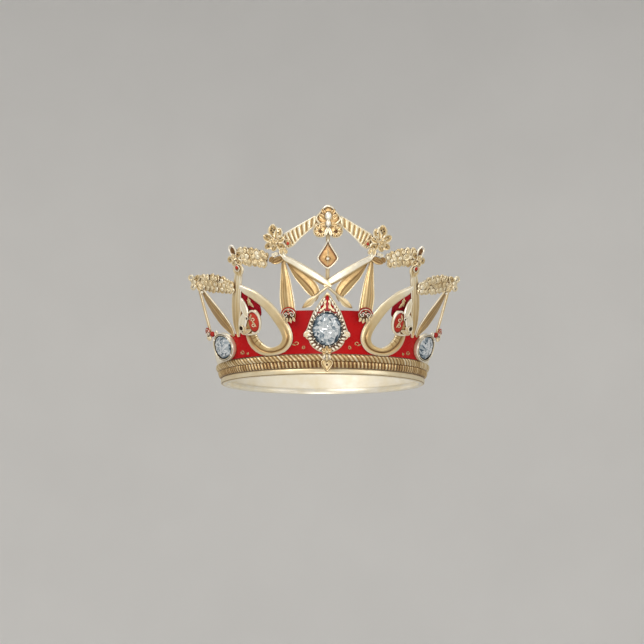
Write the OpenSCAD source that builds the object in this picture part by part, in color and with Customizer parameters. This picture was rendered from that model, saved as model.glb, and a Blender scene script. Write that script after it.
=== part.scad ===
// Full-round costume crown: rolled rim, flared enamelled band, openwork of blades,
// ribbons and flowers, three set stones and one hanging heart charm.
// Millimetres. Z is up, the front faces -Y, and the origin is the centre of the
// head opening in the plane of the rim's underside.
// Wall coordinates: azimuth in degrees from the front (positive towards +X),
// height on the band's outer cone, and stand-off measured out from that cone.

/* [Head opening and rim] */
// Inner diameter of the rim, which sits on the hair
opening_d = 153; // [140:1:170]
// Radial thickness of the rolled rim
rim_t = 4.5; // [3.5:0.1:6]
// Height of the rolled rim
rim_h = 4.7; // [3.5:0.1:7]
// Rounding of the rim's two outer edges
rim_round = 1.4; // [0.5:0.1:2]

/* [Band] */
// Outward lean of the band and of the openwork above it, in degrees
flare = 17; // [5:1:25]
// Radius the band's outer face would have in the base plane
band_r = 79; // [77:0.5:84]
// Thickness of the band's metal
band_t = 1.4; // [0.8:0.1:3]
// Height of the band's top edge across the front
band_front_h = 46; // [36:1:55]
// Height of the band's top edge round the sides and back
band_side_h = 33; // [28:1:36]
// height of the band behind the side stones, mm
band_back_h = 24; // [20:1:30]
// Half angle of the tall front part of the band, in degrees
band_front_a = 14.5; // [12:0.5:16]

/* [Rope strips] */
// Height where the lower ribbed strip ends and the upper one starts
rope_mid_h = 9.5; // [8:0.1:11]
// Height of the upper ribbed strip's top edge
rope_top_h = 14.4; // [12:0.1:16]
// Bulge of the upper ribbed strip
rope_upper_t = 2.3; // [1:0.1:3]
// Bulge of the lower ribbed strip
rope_lower_t = 1.9; // [1:0.1:3]

/* [Enamel] */
// Thickness of the enamel panels
enamel_t = 1.15; // [0.6:0.05:1.6]
// Height of the enamel's lower edge
enamel_low_h = 14.8; // [14.6:0.1:17]
// Bare metal left between two enamel panels, in degrees
enamel_split_a = 1; // [0.5:0.5:4]

/* [Ornament layers] */
// Stand-off of the blades, stems and frames that sit on the band
lay_1 = 1.3; // [1.25:0.05:2]
// Stand-off of the ribbons, flowers and shells that cross over them
lay_2 = 3.4; // [3.2:0.05:5]
// Thickness of a blade at its middle ridge
blade_t = 1.9; // [1:0.1:2]
// Thickness of a blade at its two edges
blade_edge = 0.8; // [0.4:0.1:1.2]
// Thickness of a flower, shell or scroll plate
plate_t = 1.9; // [1.2:0.1:3]

/* [Stones] */
// Half width of the centre stone
stone_a = 10.2; // [8:0.1:10.6]
// Half height of the centre stone
stone_b = 12.4; // [10:0.1:12.6]
// Half width of a side stone
side_stone_a = 13; // [10:0.1:14]
// Half height of a side stone
side_stone_b = 9.6; // [8:0.1:9.8]
// Azimuth of the side stones, in degrees
side_stone_at = 60; // [54:1:66]
// Metal width of a stone's setting
bezel_t = 1.3; // [0.8:0.1:1.5]

/* [Heart charm] */
// Distance of the charm's pin in front of the head opening's centre
pin_y = 88.2; // [87.8:0.1:90]
// Height of the charm's pin
pin_z = 12.4; // [12:0.1:13]
// Radius of the charm's pin
pin_r = 0.7; // [0.5:0.05:0.8]
// Running clearance between pin and bail, on the radius
pin_play = 0.05; // [0.02:0.01:0.1]
// Thickness of the heart
heart_t = 2; // [1.2:0.1:2.4]

/* [Hidden] */
$fn = 48;
eps = 0.02;
gap = 0.05;
opening_r = opening_d / 2;
rim_r = opening_r + rim_t;
rise = tan(flare);
left = -1;
right = 1;
cream = [0.95, 0.87, 0.70];
gold = [0.86, 0.70, 0.38];
antique = [0.66, 0.47, 0.22];
red = [0.70, 0.10, 0.12];
clear = [0.82, 0.87, 0.92];

// ---- wall coordinates ----

// radius of the band's outer cone at a height
function wall_r(z) = band_r + rise * z;
// the same, moved out square to the cone but read at the same height
function face_r(z, w) = wall_r(z) + w / cos(flare);
// point at azimuth a, height z, stand-off w
function wall_pt(a, z, w) =
  let (r = wall_r(z) + w * cos(flare)) [r * sin(a), -r * cos(a), z - w * sin(flare)];
// unit vectors: round the wall, up the wall, out of the wall
function dir_u(a) = [cos(a), sin(a), 0];
function dir_v(a) = [sin(flare) * sin(a), -sin(flare) * cos(a), cos(flare)];
function dir_n(a) = [cos(flare) * sin(a), -cos(flare) * cos(a), -sin(flare)];
// wall point seen in the flat frame that touches the wall at a0, z0
function flat_pt(a0, z0, p) =
  let (d = wall_pt(p[0], p[1], 0) - wall_pt(a0, z0, 0)) [d * dir_u(a0), d * dir_v(a0)];

function unit(v) = v / norm(v);
// one point of a smooth curve through four control points
function curve(p, q, r, s, t) =
  0.5 * (2 * q + (r - p) * t + (2 * p - 5 * q + 4 * r - s) * t * t
    + (3 * q - p - 3 * r + s) * t * t * t);
// open smooth curve through a list, n steps to a span
function smooth(c, n) = let (m = len(c) - 1) concat(
  [for (i = [0 : m - 1]) let (
      p = i > 0 ? c[i - 1] : 2 * c[0] - c[1],
      s = i < m - 1 ? c[i + 2] : 2 * c[m] - c[m - 1])
    for (k = [0 : n - 1]) curve(p, c[i], c[i + 1], s, k / n)],
  [c[m]]);
// closed smooth curve through a list
function ring(c, n) = let (m = len(c))
  [for (i = [0 : m - 1]) for (k = [0 : n - 1])
    curve(c[(i + m - 1) % m], c[i], c[(i + 1) % m], c[(i + 2) % m], k / n)];
function oval(a, b, n = 48) = [for (i = [0 : n - 1]) [a * cos(360 * i / n), b * sin(360 * i / n)]];

// ---- shared building steps ----

module on_side(side) { if (side == right) children(); else mirror([1, 0, 0]) children(); }

// places a flat drawing or solid on the wall: x round it, y up it, z out of it
module on_wall(a, z, w) {
  rotate([0, 0, a]) translate([0, -wall_r(z) - w * cos(flare), z - w * sin(flare)])
    rotate([90 + flare, 0, 0]) children();
}

// conical sheet between two heights and two stand-offs, from one azimuth to another
module sheet(z0, z1, w0, w1, a0 = 0, a1 = 360) {
  rotate([0, 0, a0 - 90]) rotate_extrude(angle = a1 - a0, $fn = 180)
    polygon([[face_r(z0, w0), z0], [face_r(z0, w1), z0], [face_r(z1, w1), z1], [face_r(z1, w0), z1]]);
}

// conical sheet cut to a flat outline
module wall_patch(a, z, w0, w1, half_a, z0, z1) {
  intersection() {
    sheet(z0, z1, w0, w1, a - half_a, a + half_a);
    on_wall(a, z, -12) linear_extrude(30) children();
  }
}

// half-round bead round the whole band
module bead(z0, z1, bulge) {
  mid = (z0 + z1) / 2;
  half = (z1 - z0) / 2;
  n = 8;
  rotate_extrude($fn = 180) polygon([for (i = [0 : n])
    let (t = 180 * i / n, z = mid - half * cos(t)) [face_r(z, gap + bulge * pow(sin(t), 0.6)), z]]);
}

// Blade, ribbon or bar that follows the wall. Control points are azimuth, height,
// half width and stand-off. The section is pairs of half-width fraction and
// thickness, drawn from one back edge over the front to the other back edge.
ridge_sec = [[-1, 0], [-1, blade_edge], [0, blade_t], [1, blade_edge], [1, 0]];
ribbon_sec = [[-1, 0], [-1, blade_edge], [-0.5, blade_t], [0.5, blade_t], [1, blade_edge], [1, 0]];
module blade(path, steps, sec) {
  c = smooth(path, steps);
  n = len(c);
  m = len(sec);
  pts = [for (i = [0 : n - 1]) let (
      p = c[i], back = c[max(i - 1, 0)], ahead = c[min(i + 1, n - 1)],
      out = dir_n(p[0]),
      along = unit(wall_pt(ahead[0], ahead[1], ahead[3]) - wall_pt(back[0], back[1], back[3])),
      across = unit(cross(out, along)),
      rise_dir = cross(along, across),
      at = wall_pt(p[0], p[1], p[3]))
    for (s = sec) at + across * (s[0] * p[2]) + rise_dir * s[1]];
  sides = [for (i = [0 : n - 2]) for (j = [0 : m - 1]) let (
      k = (j + 1) % m, a = i * m + j, b = i * m + k, d = b + m, e = a + m)
    each [[a, b, d], [a, d, e]]];
  first = [for (j = [1 : m - 2]) [0, j + 1, j]];
  last = [for (j = [1 : m - 2]) (n - 1) * m * [1, 1, 1] + [0, j, j + 1]];
  polyhedron(pts, concat(sides, first, last), convexity = 8);
}

// ---- rim, band and rope strips ----

module rim_ring() {
  q = rim_round;
  n = 6;
  low = [for (i = [0 : n]) let (t = -90 + 90 * i / n) [rim_r - q + q * cos(t), q + q * sin(t)]];
  top = [for (i = [0 : n]) let (t = 90 * i / n) [rim_r - q + q * cos(t), rim_h - q + q * sin(t)]];
  color(cream) rotate_extrude($fn = 180)
    polygon(concat([[opening_r, 0]], low, top, [[opening_r, rim_h]]));
}

// outline of the see-through window inside a loop, open at the top
loop_window = [[20.8, 52], [22, 47], [22.4, 41.6], [19.2, 33], [18.9, 25.4], [22, 19.6], [27.9, 17.8],
  [33, 20], [36.4, 26], [37.4, 31.5], [37.8, 38], [37.8, 52]];
module window_cut(side) {
  on_side(side) on_wall(28, 33, -10) linear_extrude(24)
    polygon([for (p = smooth(loop_window, 4)) flat_pt(28, 33, p)]);
}
// slopes the band's front corners down to the loops
module corner_cut(side) {
  above = 0.7;
  drop = 3.5;
  on_side(side) on_wall(18, 45, -10) linear_extrude(24)
    polygon([for (p = [[band_front_a, band_front_h + above], [24, band_front_h - drop],
      [24, 55], [band_front_a, 55]]) flat_pt(18, 45, p)]);
}
// slopes the band down behind the side stones
module back_cut() {
  rotate([90, 0, 90]) linear_extrude(240, center = true)
    polygon([[-23.4, band_side_h + 0.4], [-10, band_back_h], [130, band_back_h], [130, 60], [-23.4, 60]]);
}
module top_cuts(inset) {
  sheet(band_side_h - inset, 60, -6, 8, 30, 330);
  for (s = [left, right]) { window_cut(s); corner_cut(s); }
}

module band_wall() {
  color(gold) difference() {
    sheet(rim_h, band_front_h, -band_t, 0);
    top_cuts(0);
    back_cut();
  }
}
module rope_strip_lower() { color(antique) bead(rim_h + 0.1, rope_mid_h - 0.05, rope_lower_t); }
module rope_strip_upper() { color(gold) bead(rope_mid_h + 0.05, rope_top_h, rope_upper_t); }

// ---- enamel ----

loop_low_a = 28;
side_end_a = 65;
module enamel(a0, a1, top) {
  difference() {
    sheet(enamel_low_h, top, gap, gap + enamel_t, a0 + enamel_split_a / 2, a1 - enamel_split_a / 2);
    top_cuts(0.4);
  }
}
module enamel_front() { color(red) enamel(-loop_low_a, loop_low_a, band_front_h - 0.3); }
module enamel_side(side) {
  color(red) on_side(side) enamel(loop_low_a, side_end_a, band_side_h);
}

// small infill in the upper corner between a stem and a loop
loop_infill = [[39.9, 63.4], [34.6, 58], [31.8, 52.6], [31.2, 48], [32, 43.4], [37, 43], [42.6, 46],
  [42.6, 54]];
module enamel_loop(side) {
  color(red) on_side(side) wall_patch(36, 50, 0.1, 1.2, 10, 40, 66)
    polygon([for (p = ring(loop_infill, 3)) flat_pt(36, 50, p)]);
}

// ---- pear frame with its stone ----

pear_h = 33;
pear_half = [[0, 27.6], [3.9, 21.8], [6.8, 17.2], [9.4, 12.8], [11.4, 8], [12.9, 4], [14.2, 0], [15.2, -2],
  [16.2, -5.4], [14.6, -7.4], [13, -8.6], [11.6, -12], [9.2, -14.6], [5.6, -16.8], [2.4, -18]];
pear_outline = concat(pear_half, [[0, -18.7]],
  [for (i = [len(pear_half) - 1 : -1 : 1]) [-pear_half[i][0], pear_half[i][1]]]);
// enamelled field in the frame's upper point
tip_field = [[0, 23.2], [2.6, 19], [5.2, 15.6], [4.6, 14.2], [2.4, 14.8], [0, 15],
  [-2.4, 14.8], [-4.6, 14.2], [-5.2, 15.6], [-2.6, 19]];
module pear_frame() {
  color(gold) wall_patch(0, pear_h, lay_1, lay_1 + blade_t, 14, 10, 64) difference() {
    polygon(pear_outline);
    polygon(oval(stone_a + bezel_t + 0.1, stone_b + bezel_t + 0.1));
    polygon(tip_field);
  }
}
module pear_enamel() {
  color(red) wall_patch(0, pear_h, lay_1, lay_1 + 1.2, 6, 40, 60)
    polygon([for (p = tip_field) [p[0] * 0.94, 18 + (p[1] - 18) * 0.94]]);
}

// oval cup with a closed back and a claw on each quarter
module setting(a, b, back, wall_h) {
  claw_r = 0.9;
  linear_extrude(back) polygon(oval(a + bezel_t, b + bezel_t));
  difference() {
    linear_extrude(wall_h) polygon(oval(a + bezel_t, b + bezel_t));
    translate([0, 0, -1]) linear_extrude(wall_h + 2) polygon(oval(a + gap, b + gap));
  }
  for (t = [45 : 90 : 315])
    translate([(a + bezel_t / 2) * cos(t), (b + bezel_t / 2) * sin(t), wall_h]) sphere(r = claw_r, $fn = 24);
}
// faceted oval stone: rings of scale and height from the back to the table
module stone(a, b, rings) {
  n = 16;
  m = len(rings);
  pts = [for (r = rings) for (i = [0 : n - 1]) let (t = 360 * i / n)
    [a * r[0] * cos(t), b * r[0] * sin(t), r[1]]];
  sides = [for (j = [0 : m - 2]) for (i = [0 : n - 1]) let (
      k = (i + 1) % n, p = j * n + i, q = j * n + k, s = q + n, u = p + n)
    each [[p, u, s], [p, s, q]]];
  back = [for (i = [1 : n - 2]) [0, i, i + 1]];
  table = [for (i = [1 : n - 2]) (m - 1) * n * [1, 1, 1] + [0, i + 1, i]];
  polyhedron(pts, concat(sides, back, table), convexity = 4);
}
stone_rings = [[0.5, 0], [0.96, 1], [0.97, 1.5], [0.8, 2.9], [0.52, 3.9]];
cup_back = 0.8;
cup_wall = 2.7;
module centre_setting() {
  color(cream) on_wall(0, pear_h, lay_1) setting(stone_a, stone_b, cup_back, cup_wall);
}
module centre_stone() {
  color(clear) on_wall(0, pear_h, lay_1 + cup_back + gap)
    stone(stone_a, stone_b, [for (r = stone_rings) [r[0], r[1] * 1.15]]);
}

// ---- side stones ----

side_stone_h = 25.4;
// the side settings stand on the enamel
side_foot = 2 * gap + enamel_t;
side_back = 0.9;
side_wall = 3.2;
module side_setting(side) {
  color(cream) on_side(side) on_wall(side_stone_at, side_stone_h, side_foot)
    setting(side_stone_a, side_stone_b, side_back, side_wall);
}
module side_stone(side) {
  color(clear) on_side(side) on_wall(side_stone_at, side_stone_h, side_foot + gap + side_back)
    stone(side_stone_a, side_stone_b, stone_rings);
}

// ---- heart charm ----

lug_h = 12;
ear_in = 1.3;
ear_t = 0.8;
lug_out = lay_1 + 1.15;
module at_pin() { translate([0, -pin_y, pin_z]) rotate([0, 90, 0]) children(); }
module charm_lug() {
  plate = [6, 4, 0.7];
  // the pin's place in the wall's own frame
  d = [0, -pin_y, pin_z] - wall_pt(0, lug_h, 0);
  v = d * dir_v(0);
  n = d * dir_n(0);
  ear_r = 1.5;
  color(gold) difference() {
    union() {
      on_wall(0, lug_h, lug_out) translate([0, 0, plate[2] / 2]) cube(plate, center = true);
      for (x = [-ear_in - ear_t, ear_in])
        on_wall(0, lug_h, 0) translate([x, 0, 0]) rotate([90, 0, 90]) linear_extrude(ear_t) {
          translate([v, n]) circle(r = ear_r);
          polygon([[-1.4, lug_out + 0.2], [1.8, lug_out + 0.2], [v + ear_r, n], [v - ear_r, n]]);
        }
    }
    at_pin() cylinder(r = pin_r, h = 10, center = true);
  }
}
module charm_pin() {
  color(cream) at_pin() cylinder(r = pin_r, h = 2 * (ear_in + ear_t), center = true);
}
module heart_shape(lobe_r, lobe_x, lobe_z, tip_z) {
  for (s = [left, right]) translate([s * lobe_x, lobe_z]) circle(r = lobe_r);
  polygon([[-lobe_x * 1.98, lobe_z - lobe_r * 0.44], [0, tip_z], [lobe_x * 1.98, lobe_z - lobe_r * 0.44],
    [lobe_x, lobe_z + lobe_r * 0.5], [-lobe_x, lobe_z + lobe_r * 0.5]]);
}
module heart_charm() {
  bail_r = 1.5;
  bail_half = 1;
  neck = [1.6, 1.2, 2.8];
  recess = 0.4;
  color(gold) difference() {
    union() {
      at_pin() cylinder(r = bail_r, h = 2 * bail_half, center = true);
      translate([-neck[0] / 2, -pin_y - neck[1] / 2, pin_z - 1.1 - neck[2]]) cube(neck);
      translate([0, -pin_y + heart_t / 2, 0]) rotate([90, 0, 0]) linear_extrude(heart_t)
        heart_shape(2.5, 2.25, 7.6, 0.9);
    }
    at_pin() cylinder(r = pin_r + pin_play, h = 10, center = true);
    translate([0, -pin_y - heart_t / 2 + recess, 0]) rotate([90, 0, 0]) linear_extrude(2)
      heart_shape(1.6, 1.6, 7.2, 2.9);
  }
}

// ---- star, drop and finial at the front centre ----

module star_spikes() {
  half = [[10.6, 48, 0.25, lay_2], [7.6, 51.6, 1.1, lay_2], [3.6, 56.8, 1.5, lay_2]];
  mid = [[0, 60.6, 1.6, lay_2]];
  other = [for (i = [2 : -1 : 0]) [-half[i][0], half[i][1], half[i][2], half[i][3]]];
  color(cream) blade(concat(half, mid, other), 4, ridge_sec);
}
module star_leaf(side) {
  path = [[16, 80.3, 0.4, lay_1], [12, 74.6, 3.6, lay_1], [8.4, 69, 6, lay_1],
    [5.9, 63.6, 6, lay_1], [4.9, 59, 3.8, lay_1], [4.4, 55.6, 0.6, lay_1]];
  color(gold) on_side(side) blade(path, 5, ridge_sec);
}
module arch_ribbon() {
  half = [[16, 83, 1.6, lay_2], [15.2, 82.1, 2.2, lay_2],
    [13.6, 80.4, 2.4, lay_2], [9, 75.2, 2.9, lay_2], [4.2, 69.4, 3.1, lay_2]];
  mid = [[0, 65.9, 2.9, lay_2]];
  other = [for (i = [4 : -1 : 0]) [-half[i][0], half[i][1], half[i][2], half[i][3]]];
  color(cream) blade(concat(half, mid, other), 4, ribbon_sec);
}
module drop_stem() {
  low = 64;
  high = 102;
  half_w = 1.3;
  mid = (low + high) / 2;
  color(cream) on_wall(0, mid, lay_1) translate([-half_w, (low - mid) / cos(flare), 0])
    cube([2 * half_w, (high - low) / cos(flare), blade_t]);
}
drop_h = 85;
drop_half = [[0, 12.8], [1, 10.4], [3.2, 6.6], [5.8, 2.4], [7.6, -1], [7.4, -3], [5, -6.2], [2.2, -8.8]];
module drop_shape(k) {
  m = len(drop_half);
  all = concat(drop_half, [[0, -9.8]], [for (i = [m - 1 : -1 : 1]) [-drop_half[i][0], drop_half[i][1]]]);
  polygon([for (p = ring(all, 3)) [p[0] * k, -2 + (p[1] + 2) * k]]);
}
module centre_drop() {
  field_k = 0.78;
  field_depth = 0.7;
  boss_r = 1.3;
  color(gold) on_wall(0, drop_h, lay_2) {
    difference() {
      linear_extrude(plate_t) drop_shape(1);
      translate([0, 0, plate_t - field_depth]) linear_extrude(2) drop_shape(field_k);
    }
    boss(0, -2, boss_r, plate_t - field_depth);
  }
}
module top_finial() {
  lobe_r = 5.6;
  lobe = [5.2, -5.8];
  cap = [[-6, -4], [-9, 3.6], [-3.4, 11.4], [-1.2, 12.6], [1.2, 12.6], [3.4, 11.4], [9, 3.6], [6, -4]];
  color(gold) on_wall(0, 108, lay_2) {
    linear_extrude(plate_t + 0.4) {
      for (s = [left, right]) translate([s * lobe[0], lobe[1]]) circle(r = lobe_r);
      polygon(cap);
    }
    boss(0, 3.4, 3, plate_t);
    boss(0, -2.6, 2.2, plate_t);
    for (s = [left, right]) boss(s * 4.8, -5.8, 1.6, plate_t + 0.4);
  }
}

// ---- garlands and flowers ----

module top_garland(side) {
  path = [[4.4, 110, 2.8, lay_1], [8.4, 104.8, 3.8, lay_1], [12.2, 100, 4.8, lay_1],
    [15, 96.2, 5.6, lay_1], [16.8, 93, 4.2, lay_1]];
  color(gold) on_side(side) blade(path, 6, ribbon_sec);
}
// scalloped half width for a leaf garland
function scallop(c, depth, waves) = let (n = len(c))
  [for (i = [0 : n - 1]) let (k = 1 - depth + depth * abs(sin(180 * waves * i / (n - 1))))
    [c[i][0], c[i][1], c[i][2] * k, c[i][3]]];
module mid_garland(side) {
  path = [[19.3, 81, 1.2, lay_1], [22, 80.6, 2.4, lay_1], [24.6, 82.4, 4.2, lay_1],
    [27.4, 84.6, 6.2, lay_1], [31, 86.4, 6.9, lay_1], [34.6, 87.8, 6.9, lay_1], [38.2, 88.6, 5.4, lay_1]];
  color(gold) on_side(side) blade(scallop(smooth(path, 5), 0.16, 6), 1, ribbon_sec);
}
module side_garland(side) {
  path = [[42, 66.4, 1.6, lay_2 + 0.1], [45, 67.4, 3.8, lay_2 - 0.8], [48.2, 69, 6, lay_1 + 0.2],
    [53, 71.2, 7.3, lay_1], [58.4, 73.2, 7.3, lay_1], [63.4, 75, 5.8, lay_1], [67.6, 76.4, 3.4, lay_1]];
  color(gold) on_side(side) blade(scallop(smooth(path, 5), 0.16, 7), 1, ribbon_sec);
}
// round boss on a plate, flat at the foot so that it stays inside the plate
module boss(x, y, r, h) {
  foot = 0.3;
  intersection() {
    translate([x, y, h]) sphere(r = r, $fn = 32);
    translate([x - 5, y - 5, foot]) cube(10);
  }
}
// flat cluster of round petals, each given as x, y and radius
module petals(list, thick) {
  linear_extrude(thick) for (p = list) translate([p[0], p[1]]) circle(r = p[2]);
}
module upper_flower(side) {
  petal = [[0.8, 7.8, 4], [-2.6, 5.2, 3.7], [5, 3.6, 3.6], [5.4, -3.2, 3.1], [2, -4, 3.2],
    [0.8, -0.6, 3.8], [-2.6, 0.6, 3.4], [-3.6, -4, 3.2], [-4.8, -8, 2.8], [-5.4, -10.8, 2.5],
    [-3.6, -13.6, 2.5], [-1.4, -15, 2.3]];
  color(gold) on_side(side) on_wall(20, 96.5, lay_2) {
    petals(petal, plate_t);
    boss(0.8, -0.8, 2.4, plate_t - 0.6);
  }
}
module mid_flower(side) {
  petal = [[0.4, 5.8, 3.7], [4, -0.8, 3.6], [0.2, 0.6, 3.6], [-3.4, 2, 3], [-2.6, -2.8, 2.9],
    [-0.9, -6, 2.7], [-1.1, -9.2, 2.5], [-1.3, -11.4, 2.3]];
  color(gold) on_side(side) on_wall(38.5, 87, lay_2) {
    petals(petal, plate_t);
    boss(0, 0.8, 2.2, plate_t - 0.6);
  }
}
side_flower_turn = 26;
side_flower_w = 6.1;
module side_flower(side) {
  petal = [[0, 0, 3.4], [1, 4.2, 3], [4.2, 2.4, 2.8], [4, -2.2, 2.8], [-2.6, 2.8, 2.6], [-3.6, -1.2, 2.6],
    [-3.4, -4.8, 2.5], [-4.2, -7.6, 2.3]];
  color(gold) on_side(side) {
    on_wall(67.4, 77.2, side_flower_w) rotate([0, -side_flower_turn, 0]) {
      petals(petal, plate_t);
      boss(0, 0, 2, plate_t - 0.6);
    }
    // foot on the garland
    on_wall(65.4, 75.9, lay_1 + blade_t + gap) cylinder(r = 1.3, h = 1.5, $fn = 24);
  }
}

// ---- pillars, stems, loops and scrolls ----

module pillar(side) {
  path = [[17.7, 81.5, 1.2, lay_1], [17.6, 76, 2.5, lay_1], [17.5, 66, 4.2, lay_1],
    [17.6, 56, 5.5, lay_1], [17.3, 47, 5.5, lay_1], [17.2, 42.4, 4.8, lay_1]];
  color(gold) on_side(side) blade(path, 4, ridge_sec);
}
// small fan shell with a curled middle
module shell(r, thick) {
  linear_extrude(thick) {
    circle(r = r * 0.72);
    for (t = [0 : 36 : 180]) translate([r * 0.66 * cos(t), r * 0.66 * sin(t)]) circle(r = r * 0.36);
    translate([0, -r * 0.7]) circle(r = r * 0.5);
  }
  boss(0, 0, r * 0.38, thick - 0.5);
}
module pillar_shell(side) {
  color(antique) on_side(side) on_wall(16.9, 43.6, lay_2) shell(5.3, plate_t);
}
module stem(side) {
  path = [[38.4, 79, 2.2, lay_1], [39.4, 74.4, 3.3, lay_1], [41.2, 66.4, 3.8, lay_1],
    [43.6, 55, 4.4, lay_1], [45.3, 44, 4.3, lay_1], [46.3, 36.4, 2.8, lay_1], [46.6, 30.6, 1, lay_1]];
  color(cream) on_side(side) blade(path, 4, ridge_sec);
}
module loop(side) {
  path = [[38.5, 65.8, 1.6, lay_2], [36.4, 63.4, 2.7, lay_2], [32, 58.7, 3.4, lay_2 - 0.4],
    [26.9, 50.4, 3.7, lay_1 + 0.3], [22.9, 41.6, 4, lay_1], [19.7, 32.8, 4.2, lay_1],
    [19.2, 25.6, 4, lay_1], [22.2, 20, 3.4, lay_1], [27.9, 17.9, 2.9, lay_1], [33, 19.7, 4.1, lay_1],
    [36.8, 24.6, 5.1, lay_1], [38.4, 30.4, 4.9, lay_1], [38.8, 36.4, 3.4, lay_1]];
  color(cream) on_side(side) blade(path, 4, ribbon_sec);
}
scroll_outline = [[4.6, 14.4], [7.4, 8], [9.8, 2], [11.6, -3.6], [12.2, -8.6], [10.4, -11.8], [6.8, -13.2],
  [1.8, -13.8], [-3, -13.2], [-6.6, -10.4], [-8.4, -5], [-8.2, 0.6], [-6, 4.8], [-2.8, 4.8], [0, 4],
  [1.6, 6.6], [2.8, 10.6]];
scroll_eye = [-2.4, -4.4];
scroll_a = 36;
scroll_h = 44;
bead_floor = 0.8;
module scroll(side) {
  hole_r = 1.8;
  color(cream) on_side(side) on_wall(scroll_a, scroll_h, lay_2) difference() {
    linear_extrude(plate_t) polygon(ring(scroll_outline, 3));
    translate([8.8, -7.4, -1]) cylinder(r = hole_r, h = 6);
    translate([scroll_eye[0], scroll_eye[1], bead_floor]) linear_extrude(4) polygon(oval(3.4, 4.8, 32));
  }
}
module scroll_bead(side) {
  bead_r = 3;
  color(red) on_side(side) on_wall(scroll_a, scroll_h, lay_2 + bead_floor + gap)
    translate([scroll_eye[0], scroll_eye[1], 0]) intersection() {
      translate([0, 0, -0.8]) sphere(r = bead_r, $fn = 32);
      translate([-5, -5, 0]) cube(10);
    }
}

// ---- side openwork ----

module side_leaf(side) {
  path = [[68.6, 71.6, 0.8, lay_1], [65.4, 64, 3.2, lay_1], [60.6, 54, 4.8, lay_1],
    [55.4, 44, 4.9, lay_1], [51.6, 37, 3.2, lay_1], [49.8, 31.6, 1, lay_1]];
  color(gold) on_side(side) blade(path, 4, ridge_sec);
}
module side_rod(side) {
  path = [[70.8, 72.2, 0.9, lay_1], [71.2, 62, 0.9, lay_1], [71.6, 52, 0.9, lay_1], [72, 42, 1, lay_1],
    [72.4, 35.4, 1.1, lay_1]];
  color(gold) on_side(side) blade(path, 3, ridge_sec);
}
module side_shell(side) {
  color(antique) on_side(side) on_wall(71.4, 37.6, lay_2) shell(5, plate_t);
}

rim_ring();
band_wall();
rope_strip_lower();
rope_strip_upper();
enamel_front();
enamel_side(left);  // enamel_side_left
enamel_side(right);  // enamel_side_right
enamel_loop(left);  // enamel_loop_left
enamel_loop(right);  // enamel_loop_right
pear_frame();
pear_enamel();
centre_setting();
centre_stone();
side_setting(left);  // side_setting_left
side_setting(right);  // side_setting_right
side_stone(left);  // side_stone_left
side_stone(right);  // side_stone_right
charm_lug();
charm_pin();
heart_charm();
star_spikes();
star_leaf(left);  // star_leaf_left
star_leaf(right);  // star_leaf_right
arch_ribbon();
drop_stem();
centre_drop();
top_finial();
top_garland(left);  // top_garland_left
top_garland(right);  // top_garland_right
upper_flower(left);  // upper_flower_left
upper_flower(right);  // upper_flower_right
pillar(left);  // pillar_left
pillar(right);  // pillar_right
pillar_shell(left);  // pillar_shell_left
pillar_shell(right);  // pillar_shell_right
mid_garland(left);  // mid_garland_left
mid_garland(right);  // mid_garland_right
mid_flower(left);  // mid_flower_left
mid_flower(right);  // mid_flower_right
stem(left);  // stem_left
stem(right);  // stem_right
loop(left);  // loop_left
loop(right);  // loop_right
scroll(left);  // scroll_left
scroll(right);  // scroll_right
scroll_bead(left);  // scroll_bead_left
scroll_bead(right);  // scroll_bead_right
side_garland(left);  // side_garland_left
side_garland(right);  // side_garland_right
side_flower(left);  // side_flower_left
side_flower(right);  // side_flower_right
side_leaf(left);  // side_leaf_left
side_leaf(right);  // side_leaf_right
side_rod(left);  // side_rod_left
side_rod(right);  // side_rod_right
side_shell(left);  // side_shell_left
side_shell(right);  // side_shell_right
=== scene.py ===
"""A full-round costume crown of pale gold, red enamel and clear stones, seen from a little below."""
import random
from math import atan2, cos, degrees, dist, exp, hypot, pi, radians, sin, tan
import bpy
import bmesh
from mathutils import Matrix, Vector


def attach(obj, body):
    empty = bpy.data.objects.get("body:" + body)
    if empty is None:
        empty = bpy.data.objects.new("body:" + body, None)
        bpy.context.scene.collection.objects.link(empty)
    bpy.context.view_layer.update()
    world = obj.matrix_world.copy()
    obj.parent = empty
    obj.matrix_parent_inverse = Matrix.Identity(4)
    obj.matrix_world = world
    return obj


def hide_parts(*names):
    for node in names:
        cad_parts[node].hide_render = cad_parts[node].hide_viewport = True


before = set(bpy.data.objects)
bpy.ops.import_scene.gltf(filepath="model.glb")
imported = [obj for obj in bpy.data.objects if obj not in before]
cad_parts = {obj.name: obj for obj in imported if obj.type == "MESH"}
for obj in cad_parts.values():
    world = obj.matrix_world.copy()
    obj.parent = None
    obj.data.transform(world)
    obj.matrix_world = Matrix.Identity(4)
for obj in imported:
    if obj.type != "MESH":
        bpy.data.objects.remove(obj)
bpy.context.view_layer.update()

MM = 0.001
CROWN, CHARM = "crown", "charm"

# ---- materials


def placed(name, data):
    obj = bpy.data.objects.new(name, data)
    bpy.context.scene.collection.objects.link(obj)
    return obj


def base_material(name):
    mat = bpy.data.materials.new(name)
    mat.use_nodes = True
    nt = mat.node_tree
    return mat, nt.nodes, nt.links, nt.nodes["Principled BSDF"]


def put(node, **values):
    """Sets inputs by name, with _ for a space."""
    for name, value in values.items():
        node.inputs[name.replace("_", " ")].default_value = value


def noise_node(nodes, link, scale, detail=3.0, rough=0.5):
    coord = nodes.new("ShaderNodeTexCoord")
    tex = nodes.new("ShaderNodeTexNoise")
    put(tex, Scale=scale, Detail=detail, Roughness=rough)
    link.new(coord.outputs["Object"], tex.inputs["Vector"])
    return tex


def tone_node(nodes):
    own = nodes.new("ShaderNodeAttribute")
    own.attribute_name = "tone"
    return own


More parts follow.
